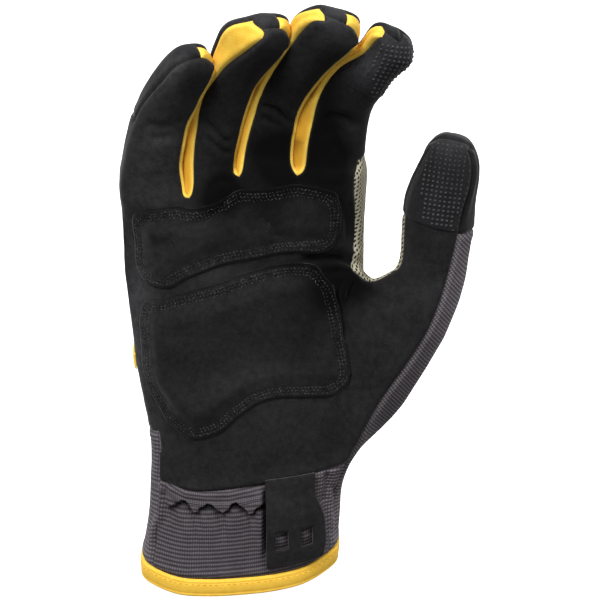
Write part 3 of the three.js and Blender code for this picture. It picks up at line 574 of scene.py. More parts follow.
# Raised dots: pitch, radius, distance kept from the rim, how far from the middle of a patch they reach,
# sides, lift and girth of each ring, lift of the top, and how much smaller the faded ones are
DOT_PITCH = 1.9
DOT_RADIUS = 0.62
DOT_CLEAR = 2.0
DOT_REACH = 34.0
DOT_SIDES = 8
DOT_RINGS = ((-0.3, 1.0), (0.30, 0.86), (0.50, 0.5))
DOT_TOP = 0.58
DOT_FADE = 0.8

# Dots are laid on from this far in front of a patch, where it faces the view by at least this much
DOT_FROM = 60.0
DOT_FACING = 0.05

# Knit: pitch of its ribs and of the stitches along a rib, and the directions across and along the slanted
# ribs, which lie closer where a direction is longer
RIB_PITCH = 1.7
RIB_STITCH = 1.02
SLANTED_ACROSS = (1.05, 0.0, 0.80)
SLANTED_ALONG = (0.61, 0.0, -0.79)

# Mesh: pitch of its holes along the strip and of their rows
MESH_PITCH = 1.8
MESH_ROWS = 1.35

# Ribs follow the hem: below what height and over how much of it, the hem's tilt, and its dip in front
HEM_RIBS = (60.0, 34.0, 0.12, 0.0060)

# Ribs follow the leather's edge over the gathers: from how far below it and over what height, up to what x
# and over what width, and the height that the edge counts as
BAND_RIBS = (7.0, 2.5, 13.0, 2.0, 37.0)

# Slanted ribs: from what height and over what height they set in, from what x and over what width, and by how
# much that x moves out, from what height and over what height
SLANTED_UP = (36.0, 10.0)
SLANTED_OUT = (42.0, 8.0)
SLANTED_STEP = (11.0, 55.0, 20.0)

# Half the height over which the mesh turns at the web
WEB_TURN = 5.0

# Painted light and shade is on what lies in front of this y, and the rim of a pad has painted shade over this
# distance
PAINTED_LIGHT_SHADE_FRONT = 2.0
PAD_RIM_PAINTED_SHADE = 0.9

# Middle of the hand as x and y, and the radius on which stitches are counted round it, on knit and on mesh
HAND_MIDDLE = (2.0, 3.0)
HAND_RADIUS = 38.0
WEB_RADIUS = 48.0

# Rounds in which the cage is fitted to its points
FIT_ROUNDS = 10


def unit(v):
    v = np.asarray(v, float)
    return v / np.maximum(np.linalg.norm(v, axis=-1, keepdims=True), 1e-12)


def smooth_step(x):
    x = np.clip(x, 0.0, 1.0)
    return x * x * (3 - 2 * x)


def bell(x, width):
    return np.exp(-((x / width) ** 2))


def mound(x, z, at_x, at_z, wide, high):
    """Bell round a place seen from the front."""
    return np.exp(-(((x - at_x) / wide) ** 2) - (((z - at_z) / high) ** 2))


def distances_along(points):
    """Distance along a line at each of its points."""
    return np.concatenate([[0.0], np.cumsum(np.linalg.norm(np.diff(points, axis=0), axis=1))])


def eased(values):
    """The values with each inner row drawn towards its two neighbours."""
    values = values.copy()
    values[1:-1] = (values[:-2] + 2 * values[1:-1] + values[2:]) / 4
    return values


def eased_loop(values):
    return (2 * values + np.roll(values, 1, axis=0) + np.roll(values, -1, axis=0)) / 4


def renumbered(faces):
    """The points that the faces use, and the faces counted in those points."""
    used, faces = np.unique(np.array(faces), return_inverse=True)
    return used, faces.reshape(-1, 4)


# Cage of the glove

def ahead(centres, k):
    """The way from the ring before to the ring after."""
    return centres[min(k + 1, len(centres) - 1)] - centres[max(k - 1, 0)]


def finger_section(left, right):
    """The ten points round a finger with its left and right seams moved to the side."""
    section = [list(point) for point in FINGER_SECTION]
    for seam, side, way, share in ((0, 9, -1, left), (2, 3, 1, right)):
        section[seam][0] += way * SEAM_SHIFT[0] * share
        section[seam][1] += SEAM_SHIFT[1] * share
        section[side][1] += SIDE_SHIFT * share
    return section


def finger_rings(rows, tip):
    """The rings of points round a finger, and the two points at its tip."""
    centres = np.array([row[:3] for row in rows])
    rings = []
    for k, (_, _, _, width, depth, roll, left, right) in enumerate(rows):
        forward = unit(ahead(centres, k))
        if k == 0:
            forward = unit([forward[0] * ROOT_LEAN, forward[1] * ROOT_LEAN, 1.0])
        turn = math.radians(roll)
        front = np.array([math.sin(turn), -math.cos(turn), 0.0])
        front = unit(front - forward * front.dot(forward))
        across = np.cross(forward, front)
        section = finger_section(left, right)
        rings.append([centres[k] + across * a * width + front * b * depth for a, b in section])
    return rings, [centres[-1] + forward * tip + front * b * depth for b in TIP_SPREAD]


def thumb_rings():
    """The rings of points round the thumb, and the two rows of points at its tip."""
    centres = np.array([((r[0] + r[2]) / 2, r[4], (r[1] + r[3]) / 2) for r in THUMB])
    rings = []
    for k, (x0, z0, x1, z1, _, depth, roll, seam) in enumerate(THUMB):
        span = np.array([x0 - x1, 0.0, z0 - z1])
        width = np.linalg.norm(span)
        flat = span / width
        forward = ahead(centres, k)
        forward = unit(forward - flat * forward.dot(flat))
        facing = np.cross(flat, forward)
        if facing[1] > 0:
            facing = -facing
        turn = math.radians(roll)
        across = flat * math.cos(turn) - facing * math.sin(turn)
        front = facing * math.cos(turn) + flat * math.sin(turn)
        # Seen from the front, the turned ring is as wide as the table says
        wide = width / (math.cos(turn) + THUMB_FULLNESS * depth * math.sin(turn) / width)
        section = [list(point) for point in THUMB_SECTION]
        section[0][0] += THUMB_SEAM_SHIFT[0] * seam
        section[0][1] += THUMB_SEAM_SHIFT[1] * seam
        section[13][1] += THUMB_SIDE_SHIFT * seam
        rings.append([centres[k] + across * a * wide + front * b * depth for a, b in section])
    for ring in rings[:2]:
        ring[4][2] += WEB_FRONT_RISE
        ring[5][2] += WEB_SIDE_RISE + WEB_THUMB_RISE
    end = centres[-1]
    tip = [
        [end + forward * THUMB_TIP * up + across * a * wide + front * b * depth for a, up in THUMB_TIP_POINTS]
        for b in TIP_SPREAD
    ]
    return rings, tip


def palm_piece(row, column):
    if row == 0:
        return "hem_binding"
    if row < THUMB_ROWS[0]:
        return "cuff_front" if column < 8 else "back_fabric"
    if column < 8:
        return "palm_leather"
    if column <= 10:
        return "web_mesh"
    if column >= 20 and row > THUMB_ROWS[0]:
        return "palm_leather"
    return "back_fabric"


SIDE_PIECES = {
    "pinky": (None, "fourchette_pinky_ring"),
    "ring": ("fourchette_pinky_ring", "fourchette_ring_middle"),
    "middle": ("fourchette_ring_middle", "fourchette_middle_index"),
    "index": ("fourchette_middle_index", None),
}


def finger_piece(name, ring, column):
    capped = ring >= CAP_RING
    behind = "cap_" + name if capped else "back_fabric"
    left, right = SIDE_PIECES[name]
    if column < 2:
        return "palm_leather"
    if column in (5, 6):
        return behind
    if column < 5:
        if right:
            return right
        if ring == 0:
            return "web_mesh"
        return behind if column == 4 else "palm_leather"
    if column == 7 and (capped or not left):
        return behind
    if left:
        return left
    return behind if column == 8 and capped else "palm_leather"


def thumb_piece(ring, column):
    capped = ring >= THUMB_CAP_RING
    if column < 4 or (column == 4 and capped):
        return "palm_leather"
    if capped:
        return "cap_thumb"
    return "web_mesh" if column < 7 else "back_fabric"


def piece_at(part, ring, column):
    if part == "palm":
        return palm_piece(ring, column)
    return thumb_piece(ring, column) if part == "thumb" else finger_piece(part, ring, column)


class Cage:
    """Points and four-sided faces, and the piece, part, ring and column of each face."""

    def __init__(self):
        self.points, self.faces, self.tags = [], [], []

    def put(self, point):
        self.points.append(np.array(point, float))
        return len(self.points) - 1

    def face(self, corners, part, ring, column, piece=None):
        self.faces.append(corners)
        piece = piece or piece_at(part, ring, column)
        self.tags.append((PIECES.index(piece), PARTS.index(part), ring, column))

    def band(self, lower, upper, part, ring, left_out=()):
        """The faces between two rings of points."""
        for c in range(len(lower)):
            d = (c + 1) % len(lower)
            corners = [lower[c], lower[d], upper[d], upper[c]]
            if part == "thumb":
                corners = [lower[c], upper[c], upper[d], lower[d]]
            if c not in left_out:
                self.face(corners, part, ring, c)

    def finger_bases(self, fingers):
        """The first ring of each finger. Two neighbours share the four points of their crotch."""
        names = list(fingers)
        first = {name: fingers[name][0][0] for name in names}
        base = {name: [None] * len(first[name]) for name in names}
        for left, right in zip(names, names[1:]):
            for i, j, rise in CROTCH:
                shared = (first[left][i] + first[right][j]) / 2 + [0.0, 0.0, rise]
                base[left][i] = base[right][j] = self.put(shared)
        for name in names:
            base[name] = [self.put(first[name][i]) if p is None else p for i, p in enumerate(base[name])]
        return base

    def palm_row(self, i, top_columns):
        """Points of one row: nine in front, two at the thumb's side, nine at the back, two at the other."""
        z, left, right, front, back, tilt, dip, square = PALM_ROWS[i]
        low, high = THUMB_ROWS
        share = min(1.0, max(0.0, (z - COLUMNS_PASS[0]) / COLUMNS_PASS[1]))
        centre, half = (left + right) / 2, (right - left) / 2
        columns = [u + (v - u) * share for u, v in zip(CUFF_COLUMNS, top_columns)]
        edge = THUMB_EDGE[i - low] if low <= i <= high else None
        row = []

        def at(x, y, rise=0.0):
            drop = dip * (y / front) ** 2 if y < 0 else 0.0
            edge_rise = EDGE_RISE.get(len(row), 0.0) if i == EDGE_ROW else 0.0
            row.append(self.put((x, y, z + tilt * x - drop + rise + edge_rise)))

        for j, u in enumerate(columns):
            y = front * (1 - abs(u) ** square) ** (1 / square)
            if edge and j == 8:
                y = front * edge
            if edge and j == 7:
                y = min(y, front * (edge + THUMB_EDGE_STEP))
            at(centre + half * u, y, WEB_FRONT_RISE if i == high and j == 8 else 0.0)
        at(right, front * SIDE_FRONT, WEB_SIDE_RISE if i == high else 0.0)
        at(right, back * SIDE_BACK)
        for u in reversed(columns):
            at(centre + half * u, back * (1 - abs(u) ** square) ** (1 / square))
        at(left, back * SIDE_BACK)
        at(left, front * SIDE_FRONT)
        return row

    def palm(self, base):
        """The cuff and palm, up to the first rings of the fingers and open where the thumb leaves."""
        pinky, ring, middle, index = base.values()
        top = [
            *pinky[:3], *ring[1:3], *middle[1:3], *index[1:8],
            middle[6], middle[7], ring[6], ring[7], *pinky[6:],
        ]
        left, right = PALM_ROWS[-1][1:3]
        top_columns = [(2 * self.points[p][0] - left - right) / (right - left) for p in top[:9]]
        rows = [self.palm_row(i, top_columns) for i in range(len(PALM_ROWS))] + [top]
        for i, (lower, upper) in enumerate(zip(rows, rows[1:])):
            self.band(lower, upper, "palm", i, (8, 9, 10) if THUMB_ROWS[0] <= i < THUMB_ROWS[1] else ())
        return rows

    def tube(self, lower, rings, part):
        """Bands from one ring of points over the others."""
        for k, ring_points in enumerate(rings):
            upper = [self.put(p) for p in ring_points]
            self.band(lower, upper, part, k)
            lower = upper
        return lower

    def finger(self, name, lower, rings, end):
        fl, fm, fr, s1, s2, br, bm, bl, s3, s4 = self.tube(lower, rings[1:], name)
        e0, e1 = (self.put(p) for p in end)
        palm, cap = "palm_leather", "cap_" + name
        for corners, column, piece in (
            ([fl, fm, e0, s4], 0, palm),
            ([fm, fr, s1, e0], 1, palm),
            ([s4, e0, e1, s3], 8, cap),
            ([e0, s1, s2, e1], 3, SIDE_PIECES[name][1] or palm),
            ([s3, e1, bm, bl], 6, cap),
            ([e1, s2, br, bm], 5, cap),
        ):
            self.face(corners, name, TIP, column, piece)

    def thumb(self, rows):
        low, high = THUMB_ROWS
        lower = [rows[i][8] for i in range(low, high + 1)] + rows[high][9:11]
        lower += [rows[i][11] for i in range(high, low - 1, -1)] + [rows[low][10], rows[low][9]]
        rings, (front, back) = thumb_rings()
        last = self.tube(lower, rings, "thumb")
        grid = [
            last[:5],
            [last[13], *(self.put(p) for p in front), last[5]],
            [last[12], *(self.put(p) for p in back), last[6]],
            last[11:6:-1],
        ]
        for a in range(3):
            for b in range(4):
                corners = [grid[a][b], grid[a + 1][b], grid[a + 1][b + 1], grid[a][b + 1]]
                self.face(corners, "thumb", TIP, 9 if a else b, "cap_thumb" if a else "palm_leather")


def build_cage():
    """Points, four-sided faces, and for each face its piece, part, ring and column."""
    cage = Cage()
    fingers = {name: finger_rings(rows, FINGER_TIPS[name]) for name, rows in FINGERS.items()}
    base = cage.finger_bases(fingers)
    rows = cage.palm(base)
    for name in FINGERS:
        cage.finger(name, base[name], *fingers[name])
    cage.thumb(rows)
    used, faces = renumbered(cage.faces)
    return np.array(cage.points)[used], faces, np.array(cage.tags)


# Smooth surface through the cage points

def edge_table(faces, count):
    """Ends of each edge, the edge of each side of each face, and how many faces use each edge."""
    after = np.roll(faces, -1, axis=1)
    keys = np.minimum(faces, after) * count + np.maximum(faces, after)
    keys, sides, uses = np.unique(keys, return_inverse=True, return_counts=True)
    return np.stack([keys // count, keys % count], axis=1), sides.reshape(faces.shape), uses


def summed(count, index, values):
    total = np.zeros((count, 3))
    np.add.at(total, index.ravel(), values)
    return total


def along_rim(points, ends):
    """The points of the rim's edges, and the sum of the two rim points beside each."""
    rim = np.unique(ends)
    return rim, summed(len(points), ends, points[ends[:, ::-1].ravel()])[rim]


def limit_points(points, faces):
    """Where the points come to lie once the surface is smooth."""
    count = len(points)
    ends, _, uses = edge_table(faces, count)
    n = np.bincount(ends.ravel(), minlength=count)[:, None]
    beside = summed(count, ends, points[ends[:, ::-1].ravel()])
    opposite = summed(count, faces, points[np.roll(faces, 2, axis=1).ravel()])
    limit = (n * n * points + 4 * beside + opposite) / (n * (n + 5))
    rim, along = along_rim(points, ends[uses == 1])
    limit[rim] = (along + 4 * points[rim]) / 6
    return limit


def fit_cage(points, faces):
    """The cage whose smooth surface passes through the points."""
    cage = points
    for _ in range(FIT_ROUNDS):
        cage = cage + points - limit_points(cage, faces)
    return cage


def subdivide(points, faces):
    """One round of Catmull-Clark subdivision."""
    count = len(points)
    ends, sides, uses = edge_table(faces, count)
    middles = points[faces].mean(axis=1)
    beside = summed(len(ends), sides, np.repeat(middles, 4, axis=0))
    halfway = points[ends].mean(axis=1)
    edge_points = np.where((uses == 2)[:, None], (2 * halfway + beside) / 4, halfway)
    n = np.bincount(ends.ravel(), minlength=count)[:, None]
    by_face = summed(count, faces, np.repeat(middles, 4, axis=0)) / n
    by_edge = summed(count, ends, np.repeat(halfway, 2, axis=0)) / n
    corners = (by_face + 2 * by_edge + (n - 3) * points) / n
    rim, along = along_rim(points, ends[uses == 1])
    corners[rim] = (along + 6 * points[rim]) / 8
    middle_ids = np.repeat((count + len(ends) + np.arange(len(faces)))[:, None], 4, axis=1)
    finer = np.stack([faces, count + sides, middle_ids, count + np.roll(sides, 1, axis=1)], axis=2)
    return np.vstack([corners, edge_points, middles]), finer.reshape(-1, 4)


def point_normals(points, faces):
    a, b, c, d = (points[faces[:, k]] for k in range(4))
    return unit(summed(len(points), faces, np.repeat(np.cross(c - a, d - b), 4, axis=0)))


# Relief

def line_distance(x, z, line):
    """Distance in the x and z plane to a line of points, and the share of the line that is nearest."""
    line = np.array(line, float)
    lengths = np.linalg.norm(np.diff(line, axis=0), axis=1)
    reached = distances_along(line)
    best = np.full(len(x), 1e9)
    share = np.zeros(len(x))
    for (x0, z0), (x1, z1), start, length in zip(line, line[1:], reached, lengths):
        t = np.clip(((x - x0) * (x1 - x0) + (z - z0) * (z1 - z0)) / length ** 2, 0, 1)
        away = np.hypot(x - x0 - t * (x1 - x0), z - z0 - t * (z1 - z0))
        nearer = away < best
        best[nearer] = away[nearer]
        share[nearer] = (start + t[nearer] * length) / reached[-1]
    return best, share


def faded_ends(share, over):
    """From 0 at both ends of a line to 1, over that share of it."""
    return smooth_step(share / over) * smooth_step((1 - share) / over)


def grain(points, size, seed):
    """Smooth noise from -1 to 1 at each point, for features of that size."""
    shifted = points / size + np.array([seed * 7.3, seed * 3.1, seed * 5.7])
    return np.array([noise.noise(p) for p in shifted])


def gathers(x, z):
    """Height of the gathered cuff under its flat band, and the share of painted shade under that band."""
    p = PUFFS
    inside = smooth_step((x - p["from"]) / 3.0) * smooth_step((p["to"] - x) / 2.0)
    shifted = x + sum(size * np.sin(by_x * x + by_z * z + phase) for size, by_x, by_z, phase in PUFF_WAVES)
    arch = np.abs(np.cos(np.pi * (shifted - p["middle"]) / p["pitch"]))
    arch *= 0.92 + 0.12 * np.sin(0.35 * x + 2.0)
    below = p["cusp"] + p["arch"] * arch - z
    under = np.clip(below, 0, None)
    rise = p["height"] * arch ** 1.2 * (1 - np.exp(-under / p["swell"]))
    rise *= np.exp(-((under / p["fade"]) ** 1.6))
    rise -= p["hollow"] * arch ** 0.6 * bell(under, p["hollow_width"])
    rise -= p["valley"] * (1 - arch) ** 2 * bell(under, p["valley_reach"]) * (1 - np.exp(-under / 0.8))
    band = p["band"] * smooth_step((BAND_TOP - z) / 3.0)
    over = smooth_step((0.25 - below) / 0.5)
    # Painted shade under the band, inside each arch
    shade = inside * arch ** 0.4 * bell(under - p["shade_at"], p["shade_width"]) * (1 - over)
    return inside * (rise * (1 - over) + band * over), shade


def moved(points, faces, tags):
    """The points after the soft moves."""
    points = points.copy()
    for part, at_x, at_z, wide, high, by_x, by_z, squeeze in MOVES:
        near = mound(points[:, 0], points[:, 2], at_x, at_z, wide, high)
        if part:
            near *= np.isin(np.arange(len(points)), faces[tags[:, 1] == PARTS.index(part)])
        points[:, 0] += near * (by_x - squeeze * (points[:, 0] - at_x))
        points[:, 2] += near * by_z
    return points


def slid(points, faces, tags):
    """The points after the slides, which leave the surface as it is and only move the seams over it."""
    points = points.copy()
    for part, middle, way, along, around, back, forward in SLIDES:
        own = faces[tags[:, 1] == PARTS.index(part)]
        if not len(own):
            continue
        surface = BVHTree.FromPolygons(points.tolist(), own.tolist())
        way = Vector(way).normalized()
        chosen = np.unique(own)
        away = points[chosen] - np.array(middle)
        reached = away @ np.array(way)
        aside = (away ** 2).sum(axis=1) - reached ** 2
        near = np.exp(-((reached / along) ** 2) - aside / around ** 2)
        for index, share in zip(chosen[near > SLIDE_LEAST], near[near > SLIDE_LEAST]):
            at, normal = surface.find_nearest(points[index])[:2]
            for _ in range(SLIDE_STEPS):
                step = way.cross(normal).normalized() * -back + (way - normal * way.dot(normal)) * forward
                at, normal = surface.find_nearest(at + step * (float(share) / SLIDE_STEPS))[:2]
            points[index] = at
    return points


def relief(points, normals):
    """Dents, creases, gathers and the unevenness of worn cloth, along the normals."""
    x, z = points[:, 0], points[:, 2]
    move = np.zeros(len(points))
    lip_height, lip_place, lip_width = CREASE_LIP
    for at_x, at_z, across, up, depth in DENTS:
        move -= depth * mound(x, z, at_x, at_z, across, up)
    for width, depth, line in CREASES:
        away, share = line_distance(x, z, line)
        lip = lip_height * bell(away - lip_place * width, lip_width * width)
        move += CREASE_DEPTH * depth * faded_ends(share, CREASE_FADE) * (lip - bell(away, width))
    move += gathers(x, z)[0]
    move *= smooth_step((-normals[:, 1] - FACING_PALM[0]) / FACING_PALM[1])
    uneven = sum(depth * grain(points, size, seed) for depth, size, seed in WORN)
    return move + smooth_step((z - WORN_FROM[0]) / WORN_FROM[1]) * uneven


# Materials

class Value:
    """A number that a node gives. Signs on it add the nodes that work out the rest."""

    def __init__(self, tree, socket):
        self.tree, self.socket = tree, socket

    def __add__(self, other):
        return maths("ADD", self, other)

    def __sub__(self, other):
        return maths("SUBTRACT", self, other)

    def __rsub__(self, other):
        return maths("SUBTRACT", other, self)

    def __mul__(self, other):
        return maths("MULTIPLY", self, other)

    def __truediv__(self, other):
        return maths("DIVIDE", self, other)


def node(tree, kind, inputs=None, **settings):
    """A new node with its inputs set to numbers or linked to what other nodes give."""
    made = tree.nodes.new(kind)
    for key, value in settings.items():
        setattr(made, key, value)
    for key, value in (inputs or {}).items():
        if isinstance(value, Value):
            value = value.socket
        if isinstance(value, bpy.types.NodeSocket):
            tree.links.new(value, made.inputs[key])
        else:
            made.inputs[key].default_value = value
    return made


def maths(operation, *inputs):
    tree = next(value.tree for value in inputs if isinstance(value, Value))
    return Value(tree, node(tree, "ShaderNodeMath", dict(enumerate(inputs)), operation=operation).outputs[0])


def between(value, low, high, to_low=0.0, to_high=1.0):
    """The value from low to high brought to the other range, and held inside it."""
    inputs = {"Value": value, "From Min": low, "From Max": high, "To Min": to_low, "To Max": to_high}
    return Value(value.tree, node(value.tree, "ShaderNodeMapRange", inputs).outputs["Result"])


def waves(value, pitch):
    """Sine from 0 to 1 that repeats after that many millimetres."""
    return (maths("SINE", value * (2 * math.pi / pitch)) + 1.0) * 0.5


class Finish:
    """A material in the making."""

    def __init__(self, name, roughness, sheen=0.0, sheen_roughness=0.5, specular=0.5):
        self.material = bpy.data.materials.new(name)
        self.material.use_nodes = True
        self.tree = self.material.node_tree
        self.shader = self.tree.nodes["Principled BSDF"]
        self.shader.inputs["Roughness"].default_value = roughness
        self.shader.inputs["Specular IOR Level"].default_value = specular
        self.shader.inputs["Sheen Weight"].default_value = sheen
        self.shader.inputs["Sheen Roughness"].default_value = sheen_roughness
        self.place = node(self.tree, "ShaderNodeTexCoord").outputs["Object"]

    def speckle(self, size, detail=2.0, rough=0.5):
        """Noise from 0 to 1 with features of that size in millimetres."""
        inputs = {"Vector": self.place, "Scale": 1 / (size * MM), "Detail": detail, "Roughness": rough}
        return Value(self.tree, node(self.tree, "ShaderNodeTexNoise", inputs).outputs["Fac"])

    def slope(self, way):
        """Distance in millimetres along a direction."""
        inputs = {0: self.place, 1: tuple(v / MM for v in way)}
        made = node(self.tree, "ShaderNodeVectorMath", inputs, operation="DOT_PRODUCT")
        return Value(self.tree, made.outputs["Value"])

    def attribute(self, name):
        """The three values that each point holds under that name."""
        made = node(self.tree, "ShaderNodeAttribute", attribute_name=name)
        parts = node(self.tree, "ShaderNodeSeparateXYZ", {"Vector": made.outputs["Vector"]})
        return [Value(self.tree, part) for part in parts.outputs]

    def blend(self, share, low, high):
        low, high = ((*colour, 1.0) if isinstance(colour, tuple) else colour for colour in (low, high))
        inputs = {"Factor": share, 6: low, 7: high}
        return node(self.tree, "ShaderNodeMix", inputs, data_type="RGBA").outputs[2]

    def scaled(self, colour, share):
        inputs = {0: colour, "Scale": share}
        return node(self.tree, "ShaderNodeVectorMath", inputs, operation="SCALE").outputs[0]

    def done(self, colour, *layers):
        """The material, with its colour and bump maps: height from 0 to 1, depth in millimetres, strength."""
        self.tree.links.new(colour, self.shader.inputs["Base Color"])
        normal = None
        for height, depth, strength in layers:
            inputs = {"Height": height, "Distance": depth * MM, "Strength": strength}
            if normal is not None:
                inputs["Normal"] = normal
            normal = node(self.tree, "ShaderNodeBump", inputs).outputs["Normal"]
        if normal is not None:
            self.tree.links.new(normal, self.shader.inputs["Normal"])
        return self.material


def suede(name, dark, light, speck):
    look = Finish(name, 0.92, sheen=0.14, sheen_roughness=0.4, specular=0.08)
    patches = between(look.speckle(14.0, 3.0, 0.55), 0.34, 0.66)
    brushed = between(look.speckle(2.6, 4.0, 0.62), 0.36, 0.66)
    fibres = between(look.speckle(0.42, 2.0, 0.6), 0.60, 0.74)
    colour = look.blend(patches * 0.40 + brushed * 0.60, dark, light)
    colour = look.blend(fibres * 0.34, colour, speck)
    _, painted_light_shade, sewn = look.attribute("shade")
    pits = between(look.speckle(0.8, 1.0), 0.47, 0.56) * sewn
    # Painted light and shade scale the colour; the pits darken the sewn band
    share = maths("MAXIMUM", painted_light_shade + 1.0, 0.06) * (1.0 - pits * 0.55)
    return look.done(
        look.scaled(colour, share),
        (look.speckle(1.8, 3.0, 0.6), 0.30, 0.40),
        (1.0 - pits, 0.22, 0.6),
        (look.speckle(0.38, 2.0, 0.6), 0.13, 0.60),
    )


def knit(name, valley, crest):
    look = Finish(name, 0.88, sheen=0.05, sheen_roughness=0.4, specular=0.10)
    across, along, _ = look.attribute("cloth")
    slanted, painted_light_shade, hollow = look.attribute("shade")
    wobble = (look.speckle(9.0, 1.0) - 0.5) * 0.5

    def ribs(one, two):
        return waves(one + wobble, RIB_PITCH) * (waves(two, RIB_STITCH) * 0.75 + 0.3)

    straight = ribs(across, along)
    leaning = ribs(look.slope(SLANTED_ACROSS), look.slope(SLANTED_ALONG))
    height = leaning * slanted + straight * (1.0 - slanted)
    mottle = (look.speckle(0.5, 2.0, 0.6) - 0.5) * 0.45
    worn = (look.speckle(5.0, 2.0, 0.6) - 0.5) * 0.35
    # Painted light and shade scale the colour, and painted shade darkens the hollows under the gathers' band
    return look.done(
        look.scaled(look.blend(height + mottle + worn, valley, crest), painted_light_shade + 1.0 - hollow * 0.9),
        (height, 0.34, 0.75),
        (look.speckle(0.30, 2.0, 0.6), 0.10, 0.4),
    )


def stretch_cloth(name, shade, bright):
    look = Finish(name, 0.80, sheen=0.05, sheen_roughness=0.4, specular=0.15)
    across, along, seam = look.attribute("cloth")
    _, low, fold_bump_and_shade = look.attribute("shade")
    weave = waves(across, 0.55) * waves(along, 0.62)
    mottle = between(look.speckle(3.0, 3.0, 0.6), 0.3, 0.7)
    # Darker away from the seams: painted shade inside the yellow walls, which leaves their rolled edges
    # lighter
    light = mottle * 0.30 + weave * 0.35 - between(seam, 0.9, 2.6) * 0.45 + 0.60
    # Painted shade deep between the fingers, where low is how deep a place lies
    deep = between(seam, 0.5, 1.5) * low * 0.75
    colour = look.blend(deep, look.blend(light, shade, bright), YELLOW_DEEP_SHADE)
    return look.done(
        # Painted shade in the folds
        look.blend(fold_bump_and_shade, colour, YELLOW_FOLD_SHADE),
        (look.speckle(2.4, 2.0), 0.25, 0.35),
        (1.0 - fold_bump_and_shade, 0.8, 0.8),
        (weave, 0.09, 0.5),
    )


def open_mesh(name, hole_shade, thread):
    """Threads round holes in staggered rows, with painted shade in the holes."""
    look = Finish(name, 0.85, specular=0.15)
    across, along, _ = look.attribute("cloth")
    across = across / MESH_ROWS
    stagger = maths("MODULO", maths("FLOOR", across), 2.0) * 0.5
    u = maths("FRACT", along / MESH_PITCH + stagger) - 0.5
    v = maths("FRACT", across) - 0.5
    slant = u + v * 0.55
    height = between(maths("SQRT", slant * slant + v * (v * 0.55)), 0.16, 0.30)
    mottle = look.speckle(0.5, 2.0, 0.6) * 0.35
    return look.done(
        look.blend(height - mottle, hole_shade, thread), (height, 0.5, 0.9), (look.speckle(0.3, 2.0), 0.08, 0.4))


def rubber(name, dark, light):
    look = Finish(name, 0.70, sheen=0.06, specular=0.16)
    worn = between(look.speckle(1.2, 3.0, 0.6), 0.35, 0.75)
    # Painted light and shade scale the colour
    painted_light_shade = look.attribute("shade")[1]
    return look.done(
        look.scaled(look.blend(worn, dark, light), painted_light_shade + 1.0),
        (look.speckle(2.2, 3.0, 0.6), 0.60, 0.6),
        (look.speckle(0.5, 2.0), 0.12, 0.5),
    )


def thread(name, dark, light):
    look = Finish(name, 0.6, specular=0.25)
    plies = between(look.speckle(0.25, 2.0, 0.6), 0.35, 0.65)
    worn = between(look.speckle(2.6, 2.0, 0.6), 0.38, 0.66)
    return look.done(look.blend((plies + 0.4) * worn, dark, light), (plies, 0.08, 0.6))


def paper(name, colour):
    look = Finish(name, 0.9, specular=0.1)
    tone = between(look.speckle(60.0, 2.0), 0.2, 0.8)
    return look.done(look.blend(tone, tuple(c * 0.985 for c in colour), colour))


MATERIALS = {
    "leather": suede("suede_black", (0.007, 0.007, 0.0078), (0.0175, 0.0172, 0.018), (0.06, 0.06, 0.062)),
    "fabric": knit("knit_grey", (0.044, 0.039, 0.044), (0.165, 0.150, 0.162)),
    # The cuff's front: the same knit in darker colours, as painted shade
    "cuff": knit("knit_grey_painted_shade", (0.030, 0.026, 0.030), (0.138, 0.122, 0.135)),
    "yellow": stretch_cloth("stretch_yellow", (0.70, 0.38, 0.026), (0.94, 0.64, 0.10)),
    "mesh": open_mesh("mesh_grey_green", (0.010, 0.010, 0.008), (0.40, 0.37, 0.27)),
    "grip": rubber("grip_black", (0.0075, 0.0075, 0.0085), (0.016, 0.016, 0.018)),
    "dots": rubber("grip_dots", (0.030, 0.030, 0.033), (0.070, 0.070, 0.076)),
    "thread": thread("thread_black", (0.010, 0.010, 0.011), (0.070, 0.070, 0.074)),
    "thread_hem": thread("thread_hem", (0.40, 0.22, 0.03), (0.62, 0.36, 0.05)),
}


# Objects

def linked(name, data):
    made = bpy.data.objects.new(name, data)
    bpy.context.scene.collection.objects.link(made)
    return made


def new_object(name, points, faces, cloth, replaced=None):
    """A mesh of that cloth, given in millimetres, which may replace a CAD node."""
    mesh = bpy.data.meshes.new(name)
    mesh.from_pydata((np.asarray(points) * MM).tolist(), [], [list(map(int, face)) for face in faces])
    mesh.update()
    mesh.polygons.foreach_set("use_smooth", np.ones(len(mesh.polygons), bool))
    mesh.materials.append(MATERIALS[cloth])
    made = linked(name, mesh)
    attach(made, "root")
    if replaced:
        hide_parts(replaced)
    return made


def knit_course(x, y, z):
    """Place across and along the ribs, which follow the hem and, over the gathers, the leather's edge."""
    top, over, tilt, dip = HEM_RIBS
    low = smooth_step((top - z) / over)
    level = z - tilt * x * low + dip * np.clip(-y, 0, None) ** 2 * low
    below, rise, end, width, counts_as = BAND_RIBS
    edge = np.interp(x, *np.array(BAND_EDGE).T)
    in_band = smooth_step((z - edge + below) / rise) * smooth_step((end - x) / width) * (y < PALM_SIDE)
    level = level * (1 - in_band) + (z - edge + counts_as) * in_band
    return level, HAND_RADIUS * np.arctan2(x - HAND_MIDDLE[0], HAND_MIDDLE[1] - y)


def mesh_course(x, y, z):
    """Place across and along the mesh strip, which turns at the web."""
    on_hand = x < WEB_MIDDLE[0]
    round_hand = WEB_RADIUS * np.arctan2(x - HAND_MIDDLE[0], HAND_MIDDLE[1] - y)
    reach = np.clip(np.abs(x - WEB_MIDDLE[0]), 0.0, WEB_TURN)
    return np.where(on_hand, round_hand, y), np.where(on_hand, -1.0, 1.0) * (z - WEB_MIDDLE[1] + reach)


def slanted_ribs(x, z):
    """Share of the slanted ribs, which lie over the thumb's side of the glove."""
    out, low, over = SLANTED_STEP
    side = SLANTED_OUT[0] + out * smooth_step((z - low) / over)
    return smooth_step((z - SLANTED_UP[0]) / SLANTED_UP[1]) * smooth_step((x - side) / SLANTED_OUT[1])


